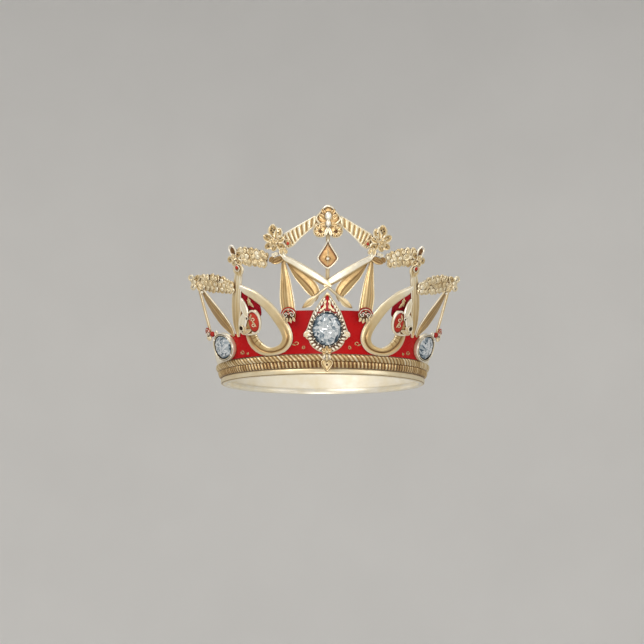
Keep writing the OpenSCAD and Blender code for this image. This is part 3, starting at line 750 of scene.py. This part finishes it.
SIDE_LEAF = layer(LAY1, [(68.6, 72, 0.8), (65.4, 64, 3.4), (60.6, 54, 4.9), (55.4, 44, 5), (51.6, 37, 3.3),
                         (49.8, 31.6, 1)])
SIDE_ROD = layer(LAY1, [(70.8, 72.8, 0.9), (71.2, 62, 0.9), (71.6, 52, 0.9), (72, 42, 1),
                        (72.4, 35.4, 1.1)])


def loop_section(x, s):
    """Broad cream ribbon that turns darker towards its lower bend and splits into two strands there; the
    groove between the strands and the notches are painted dark as their shade, and one strand and the edges
    lighter as painted highlight.
    """
    bend = clamp((s - 0.36) / 0.14)
    edge = abs(x)
    h = 0.8 + 1.15 * clamp(1 - edge ** 5)
    h -= bend * (0.75 * bump_at(x, -0.12, 0.16) + 0.25 * bump_at(x, 0.62, 0.12))
    tone = lerp(1.0, 0.6, s * 2.1)
    tone = lerp(tone, 0.93, bump_at(edge, 0.97, 0.16))
    tone -= bend * (0.34 * bump_at(x, -0.12, 0.2) - 0.2 * bump_at(x, -0.62, 0.2))
    notch = bump_at((s * 21) % 1, 0.5, 0.1) * clamp((s - 0.75) / 0.05)
    h -= 0.4 * notch * clamp(x / 0.5)
    return h, tone - 0.35 * notch * clamp(x / 0.5)


# The stem fades from light at the top to darker at its foot, as painted shade.
stem_plain = blade(lambda s: lerp(1.0, 0.66, (s - 0.1) * 1.7), 0.97, [(-0.3, 0.22), (0.36, 0.3)])


def stem_section(x, s):
    """The plain blade with its inner half painted lighter, as painted light on that side."""
    h, tone = stem_plain(x, s)
    return h, tone + 0.1 * clamp(-x)


orange = blade(lambda s: lerp(0.5, 0.62, s), 0.97, [(0.12, 0.28)], 0.16)
tall = blade(0.68, 0.96, [(-0.38, 0.16), (0.02, 0.26), (0.42, 0.34)])
long_leaf = blade(0.56, lines=[(-0.42, 0.24), (0.05, 0.3), (0.45, 0.24)])
# Name, replaced node, slot, path and cross-section
BLADES = (("star_blade", "star_leaf", "gold_satin", LEAF, orange),
          ("upright", "pillar", "gold_satin", PILLAR, tall),
          ("stem_blade", "stem", "gold_polished", STEM, stem_section),
          ("loop_ribbon", "loop", "gold_polished", LOOP, loop_section),
          ("side_blade", "side_leaf", "gold_satin", SIDE_LEAF, long_leaf),
          ("side_bar", "side_rod", "gold_satin", SIDE_ROD, blade(0.7)))

for side in SIDES:
    for name, node, slot, path, section in BLADES:
        Build().strip(smooth(path), section).make(name, node, slot, side=side)

DROP = [[0, 12.8], [1, 10.4], [3.2, 6.6], [5.8, 2.4], [7.6, -1], [7.4, -3], [5, -6.2], [2.2, -8.8],
        [0, -9.8]]


def drop():
    at = on_wall(0, 85, LAY2)
    b = Build()
    # The raised rim takes the top tones as painted highlight and the step inside it is painted dark as its
    # shade; the ring round the boss is painted dark as shade too.
    b.stack(at, ring_curve(mirrored(DROP)), (0, -2), [
        (0.97, 0, 0.6), (1, 0.5, 0.85), (0.98, 1.5, 0.98), (0.92, 1.9, 1.0), (0.86, 1.85, 1.0),
        (0.80, 1.45, 0.3), (0.76, 1.0, 0.12), (0.6, 0.95, 0.38), (0.3, 1.15, 0.45), (0.08, 1.3, 0.5)])
    ridge = [at(0, y, 1.35) for y in (8.2, 5, 2, -1, -4, -7)]
    b.tube(ridge, lambda s: 0.28 * sin(pi * clamp(s, 0.08, 0.92)) + 0.1, 0.8)
    b.ball(at, 0, -2.2, 1.6, 1.1, 1.1, 1.0, 1.0)
    b.loop(at, 0, -2.2, 1.25, 1.75, 1.75, 0.25, 0.25)
    b.make("drop", "centre_drop")
    rod = layer(LAY1, [(0, z, 1.5) for z in (63, 70, 78, 88, 96, 103)])
    Build().strip(smooth(rod, 6), blade(0.85, 1.0, edge=0.9)).make("drop_rod", "drop_stem", "gold_polished")


drop()


def dots(b, at, places, h, r=0.42, tone=0.0):
    """Small punched marks, shown as beads painted dark as the shade inside the marks."""
    for x, y in places:
        b.ball(at, x, y, h, r, r, 0.22, tone, n=8, m=5)


def finial():
    at = on_wall(0, 108, LAY2)
    b = Build()
    hood = mirrored([[0, 13.0], [3.2, 11.6], [6.4, 7.6], [9.2, 3.6], [7.8, 0.4], [5, -1.5], [0, -2.4]])
    # The raised rims take the top tones as painted highlight, and the steps inside them are painted dark as
    # shade.
    b.stack(at, ring_curve(hood), (0, 3.6), [
        (0.97, 0, 0.6), (1, 0.6, 0.8), (0.98, 1.6, 0.95), (0.92, 1.95, 0.96), (0.85, 1.8, 0.9),
        (0.80, 1.3, 0.3), (0.70, 1.1, 0.42), (0.35, 1.3, 0.6), (0.1, 1.5, 0.6)])
    for s in SIDES:
        cx, cy = s * 5.2, -5.8
        lobe = [(cx + x, cy + y) for x, y in oval(5.5, 5.5, 40)]
        b.stack(at, lobe, (cx, cy), [
            (0.96, 0, 0.6), (1, 0.7, 0.8), (0.97, 1.6, 0.92), (0.88, 1.95, 0.95),
            (0.78, 1.6, 0.5), (0.6, 1.3, 0.45), (0.3, 1.5, 0.6), (0.1, 1.6, 0.6)])
        for k in range(6):
            t = radians(-150 + 48 * k) if s == RIGHT else radians(-30 - 48 * k)
            b.leaf(at, cx + cos(t), cy + sin(t), t, 3.9, 2.5, 1.5, 0.9, 0.9, heart=0.5, ns=8)
        b.ball(at, s * 5.4, -6.2, 2.1, 1.15, 1.15, 0.7, 0.22)
        for x, y, turn, *rest in ((1.8, 2.4, 52, 6.2, 3.4, 1.4, 1.2, 0.85, 0.5),
                                  (2.2, 6.0, 30, 4.6, 2.6, 1.4, 1.0, 0.8, 0.55),
                                  (1.4, -0.6, 100, 5.0, 2.6, 1.5, 1.0, 0.85, 0.4)):
            b.leaf(at, s * x, y, radians(90 - s * turn), *rest)
        dots(b, at, [(s * 3.4, 7.6), (s * 5.6, 3.6), (s * 2.6, 9.6), (s * 3.2, -1.6)], 2.0)
        b.leaf(at, s * 0.4, -3.2, radians(270 + s * 16), 7.0, 2.4, 2.0, 1.0, 1.0, heart=0.1)
    b.ball(at, 0, 4.8, 2.6, 2.3, 3.2, 1.3, 1.0, n=18)
    b.ball(at, 0, -0.3, 2.7, 1.9, 2.5, 1.2, 1.0, n=18)
    b.loop(at, 0, 4.8, 2.4, 2.6, 3.5, 0.3, 0.55)
    b.make("finial", "top_finial")


finial()

# ---- garlands and flowers


def notched(count, lean):
    def section(x, s):
        """Bar with edges painted light as highlight and slanting engraved notches between them, painted dark
        as their shade.
        """
        e = abs(x)
        wave = 0.5 + 0.5 * cos(TAU * (count * s + lean * x))
        inner = clamp((0.82 - e) / 0.14)
        cut = inner * wave ** 2.8
        h = 0.8 + 1.0 * clamp(1 - e ** 4) + 0.25 * bump_at(e, 0.93, 0.08) - 0.7 * cut
        return h, lerp(0.9, 0.3, cut) + 0.06 * bump_at(e, 0.93, 0.1)
    return section


TOP_GARLAND = [[4.0, 110.4, 3.0, LAY1 + 0.6], [8.4, 104.8, 4.0, LAY1 + 0.6], [12.2, 100, 5.0, LAY1 + 0.6],
               [15, 96.2, 5.8, LAY1 + 0.4], [16.8, 93, 4.2, LAY1]]
MID_GARLAND = layer(LAY1, [(24.6, 82.6, 4.4), (27.4, 84.6, 6.2), (31, 86.4, 6.9), (34.6, 87.8, 6.9),
                           (38.2, 88.6, 5.4)])
SIDE_GARLAND = [[42.2, 66.6, 2.6, 3.0], [45, 67.4, 4.4, 2.5], [48.2, 69, 6.1, 1.5], [53, 71.2, 7.2, LAY1],
                [58.4, 73.2, 7.2, LAY1], [63.4, 75, 5.8, LAY1], [67.6, 76.4, 3.6, LAY1]]


def shade_backing(x, s):
    """A plain rounded section, dark all over: painted shade for the gaps between the lumps."""
    return 0.5 + 0.4 * clamp(1 - abs(x) ** 3), 0.22


def cluster(path, seed, columns):
    """Leaf and berry lumps packed over a dark strip that paints the shade between them, with scalloped outer
    leaves.
    """
    r = random.Random(seed)
    b = Build().strip([[a, z, h * 0.9, w] for a, z, h, w in path], shade_backing)
    n, rows = len(path), 3
    for c in range(columns):
        for k in range(rows):
            s = clamp((c + 0.5 + (0.5 if k % 2 else 0) + r.uniform(-0.12, 0.12)) / (columns + 0.4), 0, 1)
            p = path[min(int(s * (n - 1)), n - 1)]
            q = path[min(int(s * (n - 1)) + 1, n - 1)]
            o = path[max(int(s * (n - 1)) - 1, 0)]
            run = atan2((q[1] - o[1]) / cos(FLARE), radians(q[0] - o[0]) * wall_r(p[1]))
            across = (-1 + 2 * (k + 0.5) / rows) * 0.86 * p[2] + r.uniform(-0.25, 0.25)
            at = on_wall(p[0], p[1], p[3])
            x, y = -sin(run) * across, cos(run) * across
            outward = run + pi / 2 * (1 if across > 0 else -1)
            outer = abs(across) > 0.4 * p[2]
            turn = outward + r.uniform(-0.5, 0.5) if outer else r.uniform(0, TAU)
            size = r.uniform(6, 7.2) * (0.7 + 0.3 * p[2] / 6.5)
            bx, by = x - cos(turn) * size * 0.52, y - sin(turn) * size * 0.52
            b.leaf(at, bx, by, turn, size, size * r.uniform(0.8, 0.95),
                   r.uniform(0.6, 1.5) + 0.3 * (not outer), 1.5, r.uniform(0.76, 0.94),
                   heart=r.uniform(0.12, 0.4), cup=0.9, ns=10)
            b.leaf(at, bx * 0.6 + x * 0.4, by * 0.6 + y * 0.4, turn + r.uniform(-0.5, 0.5), size * 0.56,
                   size * 0.5, r.uniform(1.6, 2), 1.2, r.uniform(0.82, 0.98), heart=0.1, cup=0.1, ns=8)
            if r.random() < 0.4:
                dots(b, at, [(x + r.uniform(-1.6, 1.6), y + r.uniform(-1.4, 1.4))], 2.6,
                     r.uniform(0.3, 0.45), r.uniform(0.05, 0.25))
    return b


def petal(b, at, root, tip, width, base, tone=0.92, heart=0.42, **more):
    dx, dy = tip[0] - root[0], tip[1] - root[1]
    return b.leaf(at, root[0], root[1], atan2(dy, dx), hypot(dx, dy), width, base, 1.5, tone,
                  heart=heart, cup=0.9, **more)


def petals(b, at, rows):
    for row in rows:
        petal(b, at, *row)


def rosette(b, at, x, y, r0, r1, start, *rest):
    """Five small petals round the point x, y."""
    for i in range(5):
        t = radians(72 * i + start)
        petal(b, at, (x + r0 * cos(t), y + r0 * sin(t)), (x + r1 * cos(t), y + r1 * sin(t)), *rest)


def grown(at, k):
    return lambda x, y, h: at(x * k, y * k, h)


def upper_flower(b):
    at = grown(on_wall(20, 96.5, LAY2), 1.2)
    heads = [((0.4, 1.2), (0.7, 10.1), 7.2), ((-0.6, 0.4), (-4, 7.4), 5.8), ((1.4, 0.2), (7, 3.7), 5.6),
             ((1.2, -1.2), (6.9, -4.2), 5.0), ((-0.4, -1.6), (2.2, -6.4), 4.8),
             ((-0.8, -0.4), (-6, 1.4), 5.2), ((-1, -1), (-5.9, -6.2), 5.6)]
    for i, (root, tip, width) in enumerate(heads):
        petal(b, at, root, tip, width, 0.5 + 0.12 * (i % 3), 0.94, 0.5)
    rosette(b, at, 0.8, -0.8, 0.4, 3.2, 20, 2.6, 1.7, 0.95, 0.35)
    b.ball(at, 0.8, -0.8, 2.6, 1.3, 1.3, 1.1, 0.66)
    dots(b, at, [(-0.1, 6.6), (0.9, 7.6), (1.7, 6.3), (0.6, 5.2), (-2.6, 4.8), (4.6, 2.6), (4.4, -3),
                 (-3.6, -3.6), (-3.4, 1.2)], 1.7, 0.45)
    petals(b, at, [
        ((-3.4, -4.6), (-4.8, -10.6), 4.8, 0.9, 1.0, 0.12), ((-4.2, -4.6), (-3, -8.6), 3.2, 1.5, 0.95, 0.35),
        ((-5.4, -4.6), (-6.6, -8.4), 2.8, 1.5, 0.95, 0.35)])
    petal(b, at, (-4.6, -10.6), (3.6, -13.4), 4.6, 0.2, 0.72, 0.45, lift=0.2)
    petals(b, at, [((2, -9.6), (4.6, -12.8), 3, 0.8, 0.6, 0.3),
                   ((-3.4, -9.8), (0.4, -11.8), 2.4, 1, 0.62, 0.3)])
    for x, y in ((-0.4, -8.2), (1.4, -8.8)):
        petal(b, at, (x - 0.9, y - 0.8), (x + 1.3, y + 1.1), 2.4, 0.9, 1.0, 0.1)
    return b


def mid_flower(b):
    at = grown(on_wall(38.5, 87, LAY2), 1.12)
    b.loop(at, 0.7, 5.2, 1.1, 2.3, 3.7, 0.75, 0.98, turn=-0.35)
    petals(b, at, [
        ((0.2, 2.2), (1.2, 8), 3.4, 0.2, 0.5, 0.4), ((0.9, 0.2), (6.3, -1), 5.6, 0.5, 0.94, 0.42),
        ((-0.5, 1.2), (-5.8, 3.2), 5, 0.4, 0.9, 0.45), ((-0.5, -0.6), (-4.6, -4.6), 4.8, 0.5, 0.9, 0.4),
        ((0.4, -0.6), (1.6, -5.2), 4.2, 0.8, 0.92, 0.35)])
    rosette(b, at, 0, 0.8, 0.3, 2.6, 0, 2.2, 1.6, 0.95, 0.3)
    b.ball(at, 0, 0.8, 2.4, 1.0, 1.0, 0.9, 0.75)
    dots(b, at, [(3.6, -0.4), (-3.2, 2.2), (-2.6, -2.8), (1.4, -3)], 1.7, 0.45)
    petal(b, at, (-0.6, -2.6), (-1.2, -12.6), 8.4, 0.3, 0.88, 0.3)
    b.loop(at, -0.9, -6.8, 1.9, 1.7, 1.9, 0.42, 0.95)
    return b


def side_flower(b):
    place, turn, k = on_wall(67.4, 77.2, 6.1), radians(26), 1.1
    ct, st = cos(turn), sin(turn)

    def at(x, y, h):
        return place(k * x * ct - h * st, k * y, k * x * st + h * ct)
    b.curl(at, 2.0, 3.2, 1.2, 2.6, 1.1, radians(215), -0.86, 1.15, 0.9)
    b.curl(at, 2.2, -2.6, 1.2, 2.5, 1.1, radians(140), 0.86, 1.15, 0.9)
    petals(b, at, [
        ((-1.2, 0.4), (-5.6, 3.8), 4.6, 0.4, 0.9, 0.45), ((-0.6, 0.2), (2.6, 0.4), 3.4, 0.9, 0.96, 0.2),
        ((-2, -0.4), (-2.8, -7.4), 3.2, 0.6, 0.92, 0.4), ((-3, 0.2), (-5.4, -7.2), 3.2, 0.5, 0.96, 0.35),
        ((-4, -0.2), (-6.6, -5), 2.6, 0.4, 0.9, 0.4)])
    b.ball(at, -4.4, -8.4, 0.9, 1.0, 1.0, 0.9, 0.98)
    b.ball(at, -0.8, 0, 1.7, 1.6, 1.6, 1.1, 0.9)
    dots(b, at, [(-3.4, 2.2), (-2.6, -3.4), (-0.9, 1.9), (0.4, -1.2)], 1.7, 0.4)
    return b


def shell_parts(at, r):
    """A fan shell: gold curls over a plate, and its red enamelled arcs as a second mesh."""
    b, red = Build(), Build(0.5)
    # The plate's rim takes the upper tones as painted highlight and its inside is painted dark as shade.
    b.stack(at, oval(r * 0.86, r * 0.92, 40), (0, 0), [
        (0.96, 0, 0.4), (1, 0.6, 0.7), (0.95, 1.1, 0.5), (0.8, 0.9, 0.15), (0.2, 0.9, 0.1)])
    for k, (rr, is_red) in enumerate([(0.96, True), (0.78, False), (0.62, True)]):
        pts = [at(rr * r * cos(t), 0.12 * r + rr * r * 0.9 * sin(t), 1.2 + 0.25 * k)
               for t in [radians(8 + 164 * i / 18) for i in range(19)]]
        (red if is_red else b).tube(pts, 0.46 if is_red else 0.34, 0.95)
    b.curl(at, -0.38 * r, 0.05 * r, 1.7, 0.36 * r, 0.1 * r, 0.2, 1.1, 0.42, 0.97)
    b.curl(at, 0.4 * r, 0.0, 1.7, 0.34 * r, 0.1 * r, pi - 0.2, -1.1, 0.42, 0.97)
    for x, y, ang, length in ((-0.5, -0.3, 250, 0.62), (-0.14, -0.42, 262, 0.66), (0.22, -0.36, 280, 0.64),
                              (0.52, -0.2, 292, 0.6), (0, 0.42, 90, 0.42)):
        b.leaf(at, x * r, y * r, radians(ang), length * r, 0.34 * r, 1.2, 1.0, 0.95, heart=0.4, ns=8)
    red.ball(at, 0, 0.2 * r, 1.5, 0.22 * r, 0.2 * r, 0.6, 0.5)
    return b, red


SCROLL = [[4.6, 14.4], [7.4, 8], [9.8, 2], [11.6, -3.6], [12.2, -8.6], [10.4, -11.8], [6.8, -13.2],
          [1.8, -13.8], [-3, -13.2], [-6.6, -10.4], [-8.4, -5], [-8.2, 0.6], [-6, 4.8], [-2.8, 4.8], [0, 4],
          [1.6, 6.6], [2.8, 10.6]]


def scroll(side):
    at = on_wall(36, 44, LAY2)
    outline = ring_curve(SCROLL, 4)
    b = Build()
    # The raised edge takes the top tones as painted highlight and the step inside it is painted dark as its
    # shade.
    b.stack(at, outline, (1.6, -3.6), [
        (0.98, 0, 0.5), (1, 0.6, 0.8), (0.98, 1.4, 0.95), (0.93, 1.75, 0.97),
        (0.87, 1.55, 0.85), (0.83, 1.1, 0.25), (0.6, 0.95, 0.4), (0.2, 1.0, 0.5)])
    petals(b, at, [((2.2, -1), (5, 14.8), 6, 1.1, 1.0, 0.12),
                   ((3.6, 4), (10.6, -10.4), 7.2, 1, 1.0, 0.06)])
    b.curl(at, 2.6, -0.8, 2.2, 1.9, 0.7, 0.6, 0.9, 0.5, 0.98)
    # Dark ball under the curl's middle, painted as the shade of the hole there.
    b.ball(at, 2.6, -0.8, 1.9, 0.9, 0.9, 0.5, 0.02, n=12)
    b.loop(at, 8.8, -7.4, 2.3, 2.0, 2.0, 0.45, 0.9)
    # Dark ball inside the ring, painted as the shade of its hole.
    b.ball(at, 8.8, -7.4, 2.05, 1.75, 1.75, 0.5, 0.0, n=18)
    petals(b, at, [((0.6, -9.6), (9.6, -12), 3.4, 1.1, 0.95, 0.3),
                   ((4.8, -6.4), (7, -11.6), 2.6, 1.4, 0.95, 0.35)])
    rim_line = [at(-2.6 + 5.5 * cos(t), -3.9 + 8.4 * sin(t), 1.75)
                for t in [radians(75 + 220 * i / 24) for i in range(25)]]
    b.tube(rim_line, 0.85, 0.97)
    b.make("scroll_plate", "scroll", "gold_polished", side=side)
    red = Build(0.5)
    red.ball(at, -2.6, -3.9, 1.1, 4.7, 7.4, 0.95, 0.5, n=28, m=10)
    red.make("scroll_enamel", "scroll_bead", side=side, **BEAD)
    gilt = Build()
    gilt.curl(at, -2.9, -2.2, 2.1, 1.7, 0.6, -0.4, 0.8, 0.42, 0.86)
    gilt.curl(at, -2.2, -6.0, 2.1, 1.7, 0.6, 2.7, 0.8, 0.42, 0.86)
    gilt.leaf(at, -4.4, -7.6, radians(60), 5.6, 1.6, 1.8, 0.6, 0.84, heart=0.3, ns=8)
    gilt.leaf(at, 0.4, -2.0, radians(120), 4.6, 1.4, 1.7, 0.6, 0.84, heart=0.3, ns=8)
    gilt.make("scroll_curls", side=side)
    upper = Build()
    infill = on_wall(36, 50, 1.3)
    upper.curl(infill, 0.6, 5.4, 0.35, 1.7, 0.6, 0.4, 0.9, 0.42, 0.84)
    upper.leaf(infill, -2.6, 0.6, radians(52), 7.4, 2.2, 0.3, 0.7, 0.84, heart=0.3, ns=8)
    upper.leaf(infill, 1.4, 2.0, radians(98), 6.4, 2.0, 0.3, 0.7, 0.8, heart=0.3, ns=8)
    upper.make("infill_curls", side=side)


for side in SIDES:
    seed = 20 if side == RIGHT else 40
    b = Build().strip(smooth(TOP_GARLAND, 14), notched(9, 0.55))
    bar = on_wall(15.4, 94.6, LAY1 + 1.2)
    b.leaf(bar, 0.5, 2.6, radians(255), 5.4, 3.0, 0.6, 1.0, 0.9, heart=0.5)
    b.leaf(bar, -1.9, 2.2, radians(268), 4.8, 2.6, 0.6, 1.0, 0.9, heart=0.5)
    b.make("top_bar", "top_garland", side=side)
    pit = Build(0.5)
    pit.ball(bar, -0.4, -0.6, 1.6, 1.0, 1.2, 0.6)
    pit.make("top_bar_bead", side=side, **BEAD)
    upper_flower(Build()).make("top_flower", "upper_flower", side=side)
    cluster(smooth(MID_GARLAND, 14), seed + 1, 6).make("mid_bunch", "mid_garland", side=side)
    mid_flower(Build()).make("mid_blossom", "mid_flower", side=side)
    socket = Build(0.5).ball(on_wall(38.5, 87, LAY2), -0.9, -6.8, 1.9, 1.35, 1.55, 0.7)
    socket.make("mid_bead", side=side, **BEAD)
    cluster(smooth(SIDE_GARLAND, 14), seed + 2, 9).make("side_bunch", "side_garland", side=side)
    side_flower(Build()).make("side_blossom", "side_flower", side=side)
    for name, a, z, r in (("pillar_shell", 16.9, 43.6, 5.6), ("side_shell", 71.4, 37.6, 5.0)):
        b, red = shell_parts(on_wall(a, z, LAY2), r)
        b.make(name + "_fan", name, "gold_antique", side=side)
        red.make(name + "_arcs", side=side, **BEAD)
    scroll(side)
    ball_at = on_wall(66.5, 36.6, 2.6)
    berry = Build(0.5).ball(ball_at, 0, 0, 1.6, 2.4, 2.2, 1.9, 0.5, n=20, m=12)
    berry.make("side_berry", side=side, **BEAD)
    hook = Build().curl(ball_at, -6.2, -0.6, 1.0, 2.6, 0.9, radians(-30), 0.8, 0.8, 0.95)
    hook.make("side_hook", slot="gold_polished", side=side)

# ---- curls on the enamel

for side in SIDES:
    b = Build(0.62)
    for a, z, r, turn in ((14.6, 22.4, 1.7, 0.4), (11.6, 19.6, 1.4, 1.9), (46.4, 18.6, 1.7, 0.9),
                          (43.4, 17.8, 1.2, 2.4)):
        spot = on_wall(a, z, 1.15)
        b.curl(spot, 0, 0, 0.15, r, r * 0.3, turn, 0.75, 0.34)
        b.leaf(spot, r * 0.6, -r * 0.7, turn, r * 1.7, r * 0.7, 0.0, 0.4, heart=0.2, ns=8)
    b.make("enamel_curls", side=side)

# ---- heart charm and the knot above it

PIN_Y, PIN_Z = 88.2, 12.4


def charm():
    def at(x, z, h):
        return Vector((x, -PIN_Y - h, z))
    half = [[0, 8.5], [1.1, 9.7], [2.6, 10.05], [4.1, 9.2], [4.6, 7.5], [3.9, 5.5], [2.4, 3.4], [1.0, 1.7],
            [0, 0.95]]
    b = Build()
    # The side wall and the step inside the rim are painted darker as shade, and the rim lighter as painted
    # highlight.
    b.stack(at, ring_curve(mirrored(half)), (0, 6.2), [
        (0.93, -1.0, 0.7), (1, -0.7, 0.7), (1, 0.3, 0.25), (0.97, 0.75, 0.3), (0.90, 0.95, 0.84),
        (0.82, 0.85, 0.76), (0.76, 0.5, 0.4), (0.6, 0.72, 0.66), (0.3, 0.95, 0.74), (0.08, 1.0, 0.78)])
    b.ball(at, 0, 6.0, 0.95, 0.75, 0.85, 0.35, 0.15, n=12)
    # the bail: a broad flat wire bent round the pin
    section = ((-0.9, -0.3), (-0.95, 0), (-0.7, 0.3), (0, 0.37), (0.7, 0.3), (0.95, 0), (0.9, -0.3),
               (0, -0.34))
    pin, bail_r, bail = Vector((0, -PIN_Y, PIN_Z)), 1.13, []
    for k in range(32):
        t = TAU * k / 32
        p = Vector((0, -PIN_Y - bail_r * cos(t), PIN_Z + bail_r * sin(t)))
        spoke = (p - pin).normalized()
        bail.append([p + Vector((w, 0, 0)) + spoke * r for w, r in section])
    b.loft(bail, closed=True)
    b.tube([Vector((0, -PIN_Y, z)) for z in (PIN_Z - 1.2, PIN_Z - 2.2, PIN_Z - 3.4)], 0.75, 0.8, n=12)
    b.make("heart", "heart_charm", body=CHARM)


charm()

knot_at = on_wall(0, 16.9, 2.7)
knot = Build()
for turn, length in ((90, 5.2), (38, 4.4), (142, 4.4), (-4, 3.4), (184, 3.4)):
    knot.leaf(knot_at, 0, -0.4, radians(turn), length, 2.6, 0.0, 1.2, 0.74, heart=0.4)
knot.ball(knot_at, 0, -0.2, 1.0, 1.2, 1.2, 0.9, 0.8)
knot.make("charm_knot")

# CAD shapes that are already right: the band's wall, its enamel and the charm's small lug and pin
KEPT = {"band_wall": band_gold, "charm_lug": band_gold, "charm_pin": band_gold, "enamel_front": red_enamel,
        "enamel_side_left": red_enamel, "enamel_side_right": red_enamel,
        "enamel_loop_left": dark_enamel, "enamel_loop_right": dark_enamel}
for name, mat in KEPT.items():
    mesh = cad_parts[name].data
    mesh.materials.clear()
    mesh.materials.append(mat)

# ---- stage, light and camera


def stage_material():
    mat, nodes, link, shader = base_material("stage_paint")
    drift = noise_node(nodes, link, 3, 2)
    paint = [(0.3, (0.84, 0.83, 0.81)), (0.7, (0.87, 0.86, 0.84))]
    colour = ramp_node(nodes, link, drift.outputs["Fac"], paint)
    link.new(colour.outputs["Color"], shader.inputs["Base Color"])
    put(shader, Roughness=0.95)
    return mat


def bowl(radius, floor_z, wall_top, corner):
    """A round floor that curves up into a wall all the way round."""
    steps, arc = 96, 14
    rings = [(radius * k / 6, floor_z) for k in range(1, 4)]
    rings += [(radius - corner + corner * sin(t), floor_z + corner - corner * cos(t))
              for t in [pi / 2 * k / arc for k in range(arc + 1)]]
    rings.append((radius, wall_top))
    verts = [(0, 0, floor_z)]
    faces = []
    for r, z in rings:
        verts += [(r * cos(TAU * i / steps), r * sin(TAU * i / steps), z) for i in range(steps)]
    faces += [(0, 1 + i, 1 + (i + 1) % steps) for i in range(steps)]
    for k in range(len(rings) - 1):
        a, b = 1 + k * steps, 1 + (k + 1) * steps
        faces += [(a + i, b + i, b + (i + 1) % steps, a + (i + 1) % steps) for i in range(steps)]
    mesh = bpy.data.meshes.new("stage_bowl")
    mesh.from_pydata(verts, [], faces)
    mesh.polygons.foreach_set("use_smooth", [True] * len(mesh.polygons))
    mesh.materials.append(stage_material())
    return placed("stage_bowl", mesh)


bowl(3.2, -1.3, 2.8, 1.8)


def area_light(name, place, aim, size, power, colour=(1, 1, 1)):
    data = bpy.data.lights.new(name, "AREA")
    data.shape = "RECTANGLE"
    data.size, data.size_y = size
    data.energy = power
    data.color = colour
    obj = placed(name, data)
    obj.location = place
    obj.rotation_euler = (Vector(aim) - Vector(place)).to_track_quat("-Z", "Y").to_euler()
    obj.visible_camera = False


FOCUS = (0, -0.05, 0.06)
area_light("key_light", (-1.1, -1.5, 1.2), FOCUS, (1.1, 1.1), 24, (1.0, 0.97, 0.93))
area_light("fill_light", (1.6, -1.3, 0.5), FOCUS, (1.2, 1.2), 9, (1.0, 0.98, 0.95))
area_light("top_light", (0.0, 0.3, 2.0), FOCUS, (1.4, 1.4), 12)
area_light("under_light", (0.0, -1.6, -0.4), (0, 0.05, 0.02), (0.45, 0.4), 8, (1.0, 0.96, 0.90))

world = bpy.data.worlds.new("studio_world")
bpy.context.scene.world = world
world.use_nodes = True
put(world.node_tree.nodes["Background"], Color=(0.95, 0.97, 1.0, 1), Strength=0.28)
bpy.context.scene.view_settings.view_transform = "Standard"

CAMERA_AT = (-0.0377, -1.0994, -0.1109)
CAMERA_AIM = (0.03337, 0.98880, 0.14546)
LENS = 77.41
cam_data = bpy.data.cameras.new("camera")
cam_data.lens = LENS
cam_data.sensor_width = 36
cam = placed("camera", cam_data)
cam.location = CAMERA_AT
cam.rotation_euler = Vector(CAMERA_AIM).to_track_quat("-Z", "Y").to_euler()
bpy.context.scene.camera = cam
